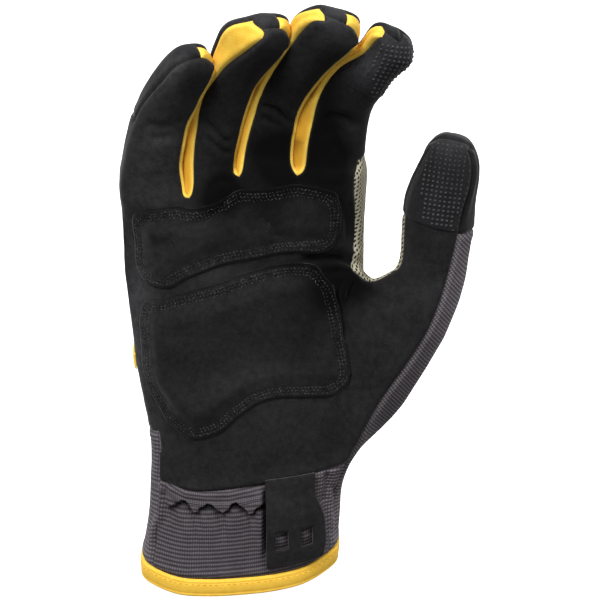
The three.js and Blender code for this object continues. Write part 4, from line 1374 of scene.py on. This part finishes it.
def painted_light_shade_of(name, x, y, z, seam):
    """How much painted light or shade a place gets or, in the yellow walls, how deep it lies between the
    fingers for their painted shade.
    """
    if name.startswith("fourchette"):
        return smooth_step((DEEP_BELOW[0] - z) / DEEP_BELOW[1])
    painted_light_shade = np.zeros(len(x))
    if name in ("side_stripe", "hem_binding"):
        return painted_light_shade
    for at_x, at_z, wide, high, share in KNIT_PAINTED_LIGHT_SHADE_SPOTS if name in ("back_fabric", "cuff_front") else PAINTED_LIGHT_SHADE_SPOTS:
        painted_light_shade += share * mound(x, z, at_x, at_z, wide, high) * (y < PAINTED_LIGHT_SHADE_FRONT)
    # Painted shade along the rim of a pad
    if name.startswith("palm_pad"):
        painted_light_shade -= bell(seam, PAD_RIM_PAINTED_SHADE)
    return painted_light_shade


def yellow_fold_bumps_and_shade(x, z):
    fold_bump_and_shade = np.zeros(len(x))
    for width, share, line in YELLOW_FOLD_BUMPS_AND_SHADE:
        away, along = line_distance(x, z, line)
        fold_bump_and_shade = np.maximum(fold_bump_and_shade, share * faded_ends(along, 0.2) * bell(away, width))
    return fold_bump_and_shade


def dressed(name, points, faces, cloth, seam, places=None, sewn=None):
    """The piece that replaces a CAD node, with what its material reads at each point.

    The attribute "cloth" holds the place across and along the ribs and the distance from the seam. "shade"
    holds the share of the slanted ribs, the painted light and shade (in a yellow wall, how deep it lies
    between the fingers, which sets its painted shade), and the sewn band of a patch, the folds of a yellow
    wall with their painted shade or the painted shade in the hollows of the gathers. The places, where they
    are given, are the points before their relief.
    """
    made = new_object("look_" + name, points, faces, cloth, name)
    x, y, z = np.asarray(points if places is None else places).T
    across, along = (mesh_course if name == "web_mesh" else knit_course)(x, y, z)
    if name.startswith("fourchette"):
        sewn = yellow_fold_bumps_and_shade(x, z)
    # Elsewhere the third value is the painted shade under the gathers' band
    if sewn is None:
        sewn = gathers(x, z)[1] * (y < PALM_SIDE)
    for key, values in (
        ("cloth", (across, along, seam)),
        ("shade", (slanted_ribs(x, z), painted_light_shade_of(name, x, y, z, seam), sewn)),
    ):
        layer = made.data.attributes.new(key, "FLOAT_VECTOR", "POINT")
        layer.data.foreach_set("vector", np.stack(values, axis=1).astype(np.float32).ravel())
    return made


# Skin of the glove

class Skin:
    """The glove's surface, or a part of it, at one level of fineness, with its relief."""

    def __init__(self, points, faces, tags):
        self.faces = faces
        self.tags = tags
        self.smooth = slid(moved(limit_points(points, faces), faces, tags), faces, tags)
        plain_normals = point_normals(self.smooth, faces)
        self.points = self.smooth + plain_normals * relief(self.smooth, plain_normals)[:, None]
        self.normals = point_normals(self.points, faces)

    def of_piece(self, name):
        return self.tags[:, 0] == PIECES.index(name)

    def piece(self, name):
        """Points, points before the relief, normals and faces of one piece."""
        ids, faces = renumbered(self.faces[self.of_piece(name)])
        return self.points[ids], self.smooth[ids], self.normals[ids], faces


cage_points, cage_faces, cage_tags = build_cage()
levels = [(fit_cage(cage_points, cage_faces), cage_faces, cage_tags)]
for _ in range(FINE):
    level_points, level_faces, level_tags = levels[-1]
    levels.append((*subdivide(level_points, level_faces), np.repeat(level_tags, 4, axis=0)))
fine, medium, simple = (Skin(*levels[n]) for n in (FINE, MEDIUM, SIMPLE))

# The cuff once finer still, with the rows on both sides of it so that its edges come out right
fine_points, fine_faces, fine_tags = levels[FINE]
near_cuff = (fine_tags[:, 1] == PARTS.index("palm")) & (fine_tags[:, 2] <= THUMB_ROWS[0])
cuff_ids, cuff_faces = renumbered(fine_faces[near_cuff])
cuff_skin = Skin(*subdivide(fine_points[cuff_ids], cuff_faces), np.repeat(fine_tags[near_cuff], 4, axis=0))


def open_edges(faces):
    """Directed sides of the faces that no other face of the piece shares."""
    starts, ends = faces.ravel(), np.roll(faces, -1, axis=1).ravel()
    count = int(faces.max()) + 1
    alone = ~np.isin(starts * count + ends, ends * count + starts)
    return np.stack([starts[alone], ends[alone]], axis=1)


def nearest_of(targets, points):
    """Distance from each point to the nearest target, and which target that is."""
    tree = kdtree.KDTree(len(targets))
    for i, p in enumerate(targets):
        tree.insert(p, i)
    tree.balance()
    found = [tree.find(p) for p in points]
    return np.array([f[2] for f in found]), np.array([f[1] for f in found])


def rim_loops(faces):
    """The closed loops round the open edges of some faces, longest first."""
    follows = dict(open_edges(faces).tolist())
    loops = []
    while follows:
        start = min(follows)
        loop, step = [start], follows.pop(start)
        while step != start:
            loop.append(step)
            step = follows.pop(step)
        loops.append(np.array(loop))
    return sorted(loops, key=len, reverse=True)


def zipped(points, one, two):
    """Triangles between two loops that run the same way, such as the outer and inner rim of a piece."""
    two = np.roll(two, -int(np.argmin(np.linalg.norm(points[two] - points[one[0]], axis=1))))
    n, m = len(one), len(two)
    faces, i, j = [], 0, 0
    while i < n or j < m:
        a, b = one[i % n], two[j % m]
        a_next, b_next = one[(i + 1) % n], two[(j + 1) % m]
        first = np.linalg.norm(points[a_next] - points[b])
        second = np.linalg.norm(points[b_next] - points[a])
        if j == m or (i < n and first <= second):
            faces.append((a_next, a, b))
            i += 1
        else:
            faces.append((a, b, b_next))
            j += 1
    return faces


def band_faces(first, rings, sides, closed=False):
    """Four-sided faces between rings of points that follow each other."""
    faces = []
    for r in range(rings if closed else rings - 1):
        low, high = first + r * sides, first + (r + 1) % rings * sides
        faces += [(low + k, low + (k + 1) % sides, high + (k + 1) % sides, high + k) for k in range(sides)]
    return faces


def ring_points(centre, one, two, radius, sides):
    """Points round a centre, in the plane of two directions."""
    turns = 2 * np.pi * np.arange(sides)[:, None] / sides
    return list(centre + radius * (one * np.cos(turns) + two * np.sin(turns)))


def closed_crotch(points, distance):
    """How far the walls between two fingers lean left behind their edges, to close the view."""
    lean, behind, over, top, fade = CROTCH_LEAN
    share = smooth_step((distance - behind) / over) * (1 - smooth_step((points[:, 2] - top) / fade))
    return share[:, None] * [-lean, 0.0, 0.0]


def skin_piece(name, cloth):
    """A sewn piece: fine outside, plainer inside, closed along its edges."""
    wall, depth, swell, width = CLOTHS[cloth]
    outer, outer_places, normals, outer_faces = (cuff_skin if name == "cuff_front" else fine).piece(name)
    inner, inner_places, inner_normals, inner_faces = medium.piece(name)
    border = outer[np.unique(open_edges(outer_faces))]
    distance, nearest = nearest_of(border, outer)
    profile = swell * bell(distance - SEAM_SWELL[0], SEAM_SWELL[1]) - depth * bell(distance, width)
    if name == "palm_leather":
        proud, over, rim_depth, rim_width = LAP
        lap = proud * (1 - smooth_step(distance / over)) - rim_depth * bell(distance, rim_width)
        edge = border[nearest]
        profile = np.where((edge[:, 2] < LAP_TOP) & (edge[:, 1] < PALM_SIDE), lap, profile)
    outer = outer + normals * profile[:, None]
    inner = inner - inner_normals * wall
    if name.startswith("fourchette"):
        outer = outer + closed_crotch(outer, distance)
        inner = inner + closed_crotch(inner, nearest_of(border, inner)[0])
    points = np.vstack([outer, inner])
    inner_faces = inner_faces + len(outer)
    inner_loops = rim_loops(inner_faces)
    sides = []
    for loop in rim_loops(outer_faces):
        middle = points[loop].mean(axis=0)
        match = min(inner_loops, key=lambda other: np.linalg.norm(points[other].mean(axis=0) - middle))
        sides += zipped(points, loop, match)
    seam = np.concatenate([distance, np.zeros(len(inner))])
    faces = list(outer_faces) + list(inner_faces[:, ::-1]) + sides
    dressed(name, points, faces, cloth, seam, np.vstack([outer_places, inner_places]))


def hem_binding():
    """The binding folded round the wrist edge. Gives the line of its stitches, and the normals there."""
    loops = rim_loops(fine.faces[fine.of_piece("hem_binding")])
    low, high = sorted(loops, key=lambda loop: fine.points[loop][:, 2].mean())
    flat = [1, 1, 0]
    _, pair = nearest_of(fine.points[high] * flat, fine.points[low] * flat)
    bottom, top = fine.points[low], fine.points[high][pair]
    out = unit(fine.normals[low] * flat)
    up = unit(top - bottom)
    height = np.linalg.norm(top - bottom, axis=1)[:, None]
    rise = up * height
    half = HEM_WALL / 2
    down_steps, fold_steps, up_steps = HEM_STEPS
    high_bulge, begins, flatness = HEM_BULGE
    rings = []
    for k in range(down_steps + 1):
        t = k / down_steps
        down = t * height
        bulge = high_bulge * math.sin(math.pi * min(1.0, begins + (1 - begins) * t)) ** flatness
        bulge -= HEM_GROOVE[0] * bell(down - HEM_GROOVE[1], HEM_GROOVE[2])
        bulge -= HEM_EDGE[0] * bell(t * 7.0, HEM_EDGE[1])
        rings.append(top - up * (down * (1 - HEM_FOLD)) + out * (HEM_PROUD - HEM_DRAW + bulge))
    for k in range(1, fold_steps):
        turn = math.pi * k / fold_steps
        centre = bottom + rise * HEM_FOLD + out * (HEM_PROUD - HEM_DRAW + 0.4 - half)
        rings.append(centre + out * (half + 0.1) * math.cos(turn) - rise * HEM_FOLD * math.sin(turn))
    for k in range(up_steps + 1):
        share = HEM_FOLD + (1 - HEM_FOLD) * k / up_steps
        rings.append(bottom + rise * share + out * (HEM_PROUD - HEM_WALL))
    points = np.vstack(rings)
    faces = band_faces(0, len(rings), len(low), closed=True)
    dressed("hem_binding", points, faces, "yellow", np.full(len(points), 5.0))
    return rings[HEM_STITCH_RING], out


for sewn_name, sewn_cloth in SEWN.items():
    skin_piece(sewn_name, sewn_cloth)
hem_row = hem_binding()

skin_tree = BVHTree.FromPolygons(fine.points.tolist(), fine.faces.tolist())
plain_tree = BVHTree.FromPolygons(medium.smooth.tolist(), medium.faces.tolist())


# Patches laid on the skin

def laid_sheet(points, faces, gap, height):
    """A sheet laid on the skin: outer and inner points, and the distance to its rim that sets its height."""
    lain = np.array([skin_tree.find_nearest(Vector(p))[0] for p in points])
    normals = point_normals(lain, faces)
    distance, _ = nearest_of(lain[np.unique(open_edges(faces))], lain)
    outer = lain + normals * (gap + height(distance, lain))[:, None]
    return outer, lain + normals * gap, distance


def closed_sheet(name, outer, inner, faces, distance, cloth, sewn=None):
    """The piece between an outer and an inner sheet, closed round their rims."""
    count = len(outer)
    sides = [(b, a, a + count, b + count) for a, b in open_edges(faces)]
    if sewn is not None:
        sewn = np.concatenate([sewn, sewn])
    points = np.vstack([outer, inner])
    faces = list(faces) + list(faces[:, ::-1] + count) + sides
    return dressed(name, points, faces, cloth, np.concatenate([distance, distance]), sewn=sewn)


def even_table(table, count):
    """The table read off along smooth curves at even steps of its outline."""
    table = np.array(table)
    reached = distances_along(table * [0.45, 1.0, 1.0])
    slopes = np.gradient(table, reached, axis=0)
    at = np.linspace(0.0, reached[-1], count)
    i = np.clip(np.searchsorted(reached, at, side="right") - 1, 0, len(table) - 2)
    width = (reached[i + 1] - reached[i])[:, None]
    t = (at - reached[i])[:, None] / width
    start, end = table[i], table[i + 1]
    leaving, arriving = slopes[i] * width, slopes[i + 1] * width
    return (
        (2 * t**3 - 3 * t**2 + 1) * start + (t**3 - 2 * t**2 + t) * leaving
        + (3 * t**2 - 2 * t**3) * end + (t**3 - t**2) * arriving
    )


def patch_grid(table, across, up):
    """Points on the skin and faces of a patch from a table of degrees, low z and high z."""
    rows = even_table(table, across + 1)
    points = []
    for degrees, low, high in rows:
        way = Vector((math.sin(math.radians(degrees)), -math.cos(math.radians(degrees)), 0.0))
        for j in range(up + 1):
            points.append(skin_tree.ray_cast(Vector((*PALM_AXIS, low + (high - low) * j / up)), way)[0])
    ids = np.arange((across + 1) * (up + 1)).reshape(across + 1, up + 1)
    corners = [ids[:-1, :-1], ids[1:, :-1], ids[1:, 1:], ids[:-1, 1:]]
    if rows[-1][0] < rows[0][0]:
        corners.reverse()
    return np.array(points), np.stack([c.ravel() for c in corners], axis=1)


def pad_height(distance, points):
    """A sewn rim with dips along its rows of stitches, then the filling, puckered where it begins."""
    rise = PAD_RIM * (PAD_EDGE[0] + (1 - PAD_EDGE[0]) * smooth_step(distance / PAD_EDGE[1]))
    for row in STITCH_ROWS:
        rise -= STITCH_DIP[0] * bell(distance - row, STITCH_DIP[1])
    over, even, uneven = PAD_FULL
    behind = distance - STITCH_ROWS[-1]
    rise += PAD_FILL * smooth_step(behind / over) * (even + uneven * grain(points, 15.0, 5))
    height, place, width = PAD_PUCKER
    return rise + height * bell(behind - place, width) * grain(points, 2.6, 6)


def stripe_height(distance, points):
    share, over = STRIPE_EDGE
    return STRIPE_THICK * (share + (1 - share) * smooth_step(distance / over))


def grip_height(soft):
    """Height of a grip patch, whose rim runs out thin towards one side."""
    def height(distance, points):
        away = (points - points.mean(axis=0)) @ unit(soft)
        width = GRIP_RIM[0] + GRIP_RIM[1] * smooth_step((away + 2.0) / 4.0)
        return GRIP_THICK * smooth_step((distance + 0.12) / width)
    return height


def stitch_line(points, normals, pitch, length, radius, closed, slant=0.0):
    """Points and faces of a row of stitches along a line, each an arched bar that dips in at its ends.

    With a slant in degrees the stitches lie in an uneven zigzag.
    """
    uneven = np.random.default_rng(int(points[0].sum() * 10) % 1000)
    if closed:
        points, normals = (np.vstack([values, values[:1]]) for values in (points, normals))
    reached = distances_along(points)
    count = max(2, int(reached[-1] / pitch))
    made_points, made_faces = [], []

    def along(values, s):
        return np.array([np.interp(s, reached, values[:, k]) for k in range(3)])

    for index, s in enumerate((np.arange(count) + 0.5) * reached[-1] / count):
        centre, normal = along(points, s), unit(along(normals, s))
        way = along(points, min(s + STITCH_REACH, reached[-1])) - along(points, max(s - STITCH_REACH, 0.0))
        way = unit(way - normal * way.dot(normal))
        side = np.cross(way, normal)
        long, deep = length, 0.0
        if slant:
            turn = math.radians((slant if index % 2 else -slant) + uneven.normal(0.0, ZIGZAG_SPREAD))
            way = way * math.cos(turn) + side * math.sin(turn)
            side = np.cross(way, normal)
            centre = centre + side * uneven.normal(0.0, PLACE_SPREAD)
            long, deep = length * uneven.uniform(*LENGTH_SPREAD), uneven.uniform(*DEPTH_SPREAD)
        first = len(made_points)
        for t, lift, girth in STITCH_PROFILE:
            middle = centre + way * t * long + normal * (lift * radius * 2 - deep)
            made_points += ring_points(middle, normal, side, radius * girth, STITCH_SIDES)
        last = len(made_points) - STITCH_SIDES
        made_faces += band_faces(first, len(STITCH_PROFILE), STITCH_SIDES)
        made_faces.append(tuple(range(first + STITCH_SIDES - 1, first - 1, -1)))
        made_faces.append(tuple(range(last, last + STITCH_SIDES)))
    return made_points, made_faces


def add_stitches(name, lines, pitch, length, radius, cloth, slot, closed=True, slant=0.0):
    points, faces = [], []
    for line_points, line_normals in lines:
        more_points, more_faces = stitch_line(line_points, line_normals, pitch, length, radius, closed, slant)
        faces += [tuple(v + len(points) for v in face) for face in more_faces]
        points += more_points
    new_object("stitches_" + name, points, faces, cloth)


def crossings(outer, normals, faces, distance, offset):
    """Where the sides of the faces cross a distance from the rim, and which crossings each face joins."""
    inside = distance > offset
    spots, links = {}, {}
    mixed = inside[faces].any(axis=1) & ~inside[faces].all(axis=1)
    for face in faces[mixed].tolist():
        crossed = []
        for a, b in zip(face, face[1:] + face[:1]):
            if inside[a] != inside[b]:
                a, b = min(a, b), max(a, b)
                t = (offset - distance[a]) / (distance[b] - distance[a])
                spots[a, b] = [v[a] + (v[b] - v[a]) * t for v in (outer, normals)]
                crossed.append((a, b))
        if len(crossed) == 2:
            links.setdefault(crossed[0], []).append(crossed[1])
            links.setdefault(crossed[1], []).append(crossed[0])
    return spots, links


def longest_chain(links):
    longest = []
    while links:
        start = min(links)
        chain, beside = [start], links.pop(start)
        while beside:
            step = next((k for k in beside if k in links), None)
            if step is None:
                break
            chain.append(step)
            beside = links.pop(step)
        longest = max(longest, chain, key=len)
    return longest


def rows_inside(outer, faces, distance, offsets):
    """Closed lines on the sheet at those distances inside its rim, as points and normals."""
    normals = point_normals(outer, faces)
    tree = BVHTree.FromPolygons(outer.tolist(), faces.tolist())
    lines = []
    for offset in offsets:
        spots, links = crossings(outer, normals, faces, distance, offset)
        chain = longest_chain(links)
        line, facing = (np.array([spots[k][n] for k in chain]) for n in (0, 1))
        for _ in range(LINE_ROUNDS):
            line = eased_loop(line)
            facing = unit(eased_loop(facing))
        lines.append((np.array([tree.find_nearest(Vector(p))[0] for p in line]), facing))
    return lines


def palm_pad(name, table, cells):
    """A filled patch with rows of zigzag stitches inside its rim."""
    points, faces = patch_grid(table, *cells)
    outer, inner, distance = laid_sheet(points, faces, PAD_GAP, pad_height)
    sewn = bell(distance - SEWN_BAND[0], SEWN_BAND[1])
    pad = closed_sheet(name, outer, inner, faces, distance, "leather", sewn)
    rows = rows_inside(outer, faces, distance, STITCH_ROWS)
    add_stitches(name, rows, *PAD_STITCH, "thread", "leather", slant=ZIGZAG)


palm_pad("palm_pad_upper", UPPER_PAD, PAD_CELLS["upper"])
palm_pad("palm_pad_lower", LOWER_PAD, PAD_CELLS["lower"])


def drawn_in(points, normals, faces):
    """The points with the rim of the faces drawn in from the seams."""
    points = points.copy()
    pull = {}
    for a, b in open_edges(faces):
        for v in (a, b):
            pull.setdefault(v, []).append(unit(np.cross(normals[v], points[b] - points[a])))
    for v, ways in pull.items():
        both = ways[0].dot(ways[1]) if len(ways) > 1 else 0.0
        points[v] = points[v] + sum(ways) * GRIP_INSET / max(0.3, 1 + both)
    return points


def dot_places(outer, faces, front, rows_up):
    """Places and normals of raised dots, in rows seen from the front of a patch and clear of its rim."""
    tree = BVHTree.FromPolygons(outer.tolist(), faces.tolist())
    facing = Vector(unit(front))
    up = Vector(unit(np.array(rows_up) - np.array(facing) * np.dot(rows_up, facing)))
    side = up.cross(facing)
    start = Vector(outer.mean(axis=0)) + facing * DOT_FROM
    reach = int(DOT_REACH / DOT_PITCH)
    places = []
    for i in range(-reach, reach + 1):
        for j in range(-reach, reach + 1):
            hit, normal, _, _ = tree.ray_cast(start + up * (i * DOT_PITCH) + side * (j * DOT_PITCH), -facing)
            if hit is not None and normal.dot(facing) > DOT_FACING:
                places.append((np.array(hit), np.array(normal)))
    clear, _ = nearest_of(outer[rim_loops(faces)[0]], [hit for hit, _ in places])
    return [place for place, room in zip(places, clear) if room >= DOT_CLEAR]


def raised_dots(name, places, right_of, fade):
    """Dots that fade out along a direction, from one distance to another."""
    way, full, faint = fade
    points, faces = [], []
    for hit, normal in places:
        if hit[0] < right_of:
            continue
        size = 1 - DOT_FADE * smooth_step((hit @ unit(way) - full) / (faint - full))
        one = unit(np.cross(normal, [0.3, 0.2, 0.9]))
        two = np.cross(normal, one)
        first = len(points)
        for lift, girth in DOT_RINGS:
            centre = hit + DOT_RADIUS * normal * lift * size
            points += ring_points(centre, one, two, DOT_RADIUS * girth * (0.5 + 0.5 * size), DOT_SIDES)
        top = len(points)
        points.append(hit + normal * DOT_RADIUS * DOT_TOP * size)
        faces += band_faces(first, len(DOT_RINGS), DOT_SIDES)
        faces += [(top - DOT_SIDES + k, top - DOT_SIDES + (k + 1) % DOT_SIDES, top) for k in range(DOT_SIDES)]
    new_object("dots_" + name, points, faces, "dots")


def grip_patch(name, chosen, front, rows_up, soft, fade, right_of, stitched):
    """A patch sewn inside its seams, with raised dots."""
    ids, faces = renumbered(simple.faces[chosen])
    points = drawn_in(simple.points[ids], simple.normals[ids], faces)
    for _ in range(3):
        points, faces = subdivide(points, faces)
    outer, inner, distance = laid_sheet(points, faces, GRIP_GAP, grip_height(soft))
    closed_sheet(name, outer, inner, faces, distance, "grip")
    if stitched:
        line, facing = rows_inside(outer, faces, distance, (GRIP_STITCH_ROW,))[0]
        sewn = line[:, 0] > line[:, 0].mean() + GRIP_SEWN
        first = int(np.flatnonzero(sewn & ~np.roll(sewn, 1))[0])
        line, facing, sewn = (np.roll(values, -first, axis=0) for values in (line, facing, sewn))
        add_stitches(name, [(line[sewn], facing[sewn])], *GRIP_STITCH, "thread", "grip", closed=False)
    raised_dots(name, dot_places(outer, faces, front, rows_up), right_of, fade)


parts, rings, columns = simple.tags[:, 1], simple.tags[:, 2], simple.tags[:, 3]
on_thumb = (parts == PARTS.index("thumb")) & (rings >= THUMB_CAP_RING) & (columns < 4)
on_index = (parts == PARTS.index("index")) & (rings >= 3) & (columns <= 3) & simple.of_piece("palm_leather")
grip_patch(
    "thumb_grip", on_thumb, front=(-0.1, -1.0, 0.1), rows_up=(0.12, 0.0, 1.0), soft=(-0.8, 0.0, 0.6),
    fade=((0.55, 0.0, 0.83), 174.0, 198.0), right_of=74.0, stitched=True,
)
grip_patch(
    "index_grip", on_index, front=(0.35, -0.90, -0.1), rows_up=(0.3, -0.4, 0.8), soft=(-0.9, 0.0, 0.45),
    fade=((0.0, 0.0, 1.0), 240.0, 260.0), right_of=54.0, stitched=False,
)

add_stitches("hem", [hem_row], *HEM_STITCH, "thread_hem", "yellow")

stripe, stripe_faces = patch_grid(STRIPE, *STRIPE_CELLS)
stripe_outer, stripe_inner, stripe_distance = laid_sheet(stripe, stripe_faces, STRIPE_GAP, stripe_height)
closed_sheet("side_stripe", stripe_outer, stripe_inner, stripe_faces, stripe_distance, "yellow")


def pull_tab():
    """The leather pull tab with its two windows, standing off the cuff like a loop."""
    steps = TAB_STEPS
    table = np.array(TAB_ROWS)
    count = len(TAB_COLUMNS)
    shares = np.interp(np.arange((count - 1) * steps + 1) / steps, range(count), TAB_COLUMNS)
    lines = np.arange((len(table) - 1) * steps + 1) / steps
    rows = np.stack([np.interp(lines, range(len(table)), table[:, k]) for k in range(4)], axis=1)
    for _ in range(TAB_ROUNDS[0]):
        rows[:, 3] = eased(rows[:, 3])
    hits, leans = [], []
    for height, left, right, _ in rows:
        for share in shares:
            x = left + (right - left) * share
            start = Vector((x, TAB_FROM, height + TAB_TILT * (x - left)))
            hit, normal, _, _ = plain_tree.ray_cast(start, Vector((0.0, 1.0, 0.0)))
            hits.append(hit)
            leans.append(unit([normal[0], normal[1], 0.0]))
    down, across = len(rows), len(shares)
    hits, leans = (np.array(values).reshape(down, across, 3) for values in (hits, leans))
    for _ in range(TAB_ROUNDS[1]):
        leans = unit(eased(leans.swapaxes(0, 1))).swapaxes(0, 1)
        leans = unit(eased(leans))
        hits = eased(hits)
    faces = []
    for i in range(1, down):
        for j in range(1, across):
            if ((i - 1) // steps, (j - 1) // steps) not in TAB_WINDOWS:
                a = i * across + j
                faces.append((a - 1, a, a - across, a - across - 1))
    used, faces = renumbered(faces)
    points, leans = hits.reshape(-1, 3)[used], leans.reshape(-1, 3)[used]
    off = np.repeat(rows[:, 3], across)[used] + TAB_GAP
    distance, _ = nearest_of(points[np.unique(open_edges(faces))], points)
    outer_turn, inner_turn, turn_width = TAB_EDGE
    edge = bell(distance, turn_width)
    dip = TAB_DIP[0] * bell(distance - TAB_DIP[1], TAB_DIP[2])
    soft = sum(depth * grain(points, size, seed) for depth, size, seed in TAB_WORN)
    outer = points + leans * (off + TAB_THICK - outer_turn * edge - dip + soft)[:, None]
    inner = points + leans * (off + inner_turn * edge)[:, None]
    closed_sheet("pull_tab", outer, inner, faces, distance, "leather")


pull_tab()


# Stage, lights and camera

def soft_sun(name, round_about, elevation, strength, spread, on, shadow=True):
    """Wide soft light on some objects, so many degrees right of the camera and above the floor."""
    light = bpy.data.lights.new(name, "SUN")
    light.energy = strength
    light.use_shadow = shadow
    light.angle = math.radians(spread)
    turn, lift = math.radians(round_about), math.radians(elevation)
    towards = Vector((math.sin(turn) * math.cos(lift), -math.cos(turn) * math.cos(lift), math.sin(lift)))
    holder = linked(name, light)
    holder.rotation_euler = (-towards).to_track_quat("-Z", "Y").to_euler()
    holder.location = towards
    lit = bpy.data.collections.new("lit_by_" + name)
    for thing in on:
        lit.objects.link(thing)
    holder.light_linking.receiver_collection = lit


def floor():
    """White floor just under the glove, which casts no light back on it."""
    level = min((o.matrix_world @ Vector(c)).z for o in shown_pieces() for c in o.bound_box) - FLOOR_GAP * MM
    side = FLOOR_HALF
    mesh = bpy.data.meshes.new("floor")
    corners = [(-side, -side, level), (side, -side, level), (side, side, level), (-side, side, level)]
    mesh.from_pydata(corners, [], [(0, 1, 2, 3)])
    mesh.materials.append(paper("floor_white", FLOOR_WHITE))
    made = linked("floor", mesh)
    made.visible_diffuse = False
    made.visible_glossy = False
    made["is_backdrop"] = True
    return made


def camera():
    lens = bpy.data.cameras.new("view")
    lens.sensor_width = SENSOR
    lens.lens = SENSOR * VIEW_DISTANCE / VIEW_WIDTH
    lens.clip_start = 0.01
    lens.clip_end = 30.0
    tilt = math.radians(VIEW_ELEVATION)
    holder = linked("view", lens)
    holder.location = Vector(VIEW_TARGET) + Vector((0.0, -math.cos(tilt), math.sin(tilt))) * VIEW_DISTANCE
    holder.rotation_euler = (math.pi / 2 - tilt, 0.0, 0.0)
    bpy.context.scene.camera = holder


def studio(ground):
    """Soft light that is brighter from above and from behind, in a surround that the camera sees as white."""
    world = bpy.data.worlds.new("studio")
    world.use_nodes = True
    tree = world.node_tree
    background = tree.nodes["Background"]
    background.inputs["Color"].default_value = (1.0, 1.0, 1.0, 1.0)
    direction = node(tree, "ShaderNodeTexCoord").outputs["Generated"]
    ways = node(tree, "ShaderNodeSeparateXYZ", {"Vector": direction}).outputs
    sky = between(Value(tree, ways[2]), *SKY_SPAN, *SKY)
    around = sky + between(Value(tree, ways[1]), *BACKLIGHT_SPAN) * BACKLIGHT
    seen = node(tree, "ShaderNodeLightPath").outputs["Is Camera Ray"]
    tree.links.new(maths("MAXIMUM", around, seen).socket, background.inputs["Strength"])
    bpy.context.scene.world = world
    bpy.context.scene.view_settings.view_transform = "Standard"
    soft_sun("key", *KEY_SUN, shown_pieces())
    soft_sun("fill", *FILL_SUN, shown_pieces())
    soft_sun("ground", *GROUND_SUN, [ground], shadow=False)


studio(floor())
camera()
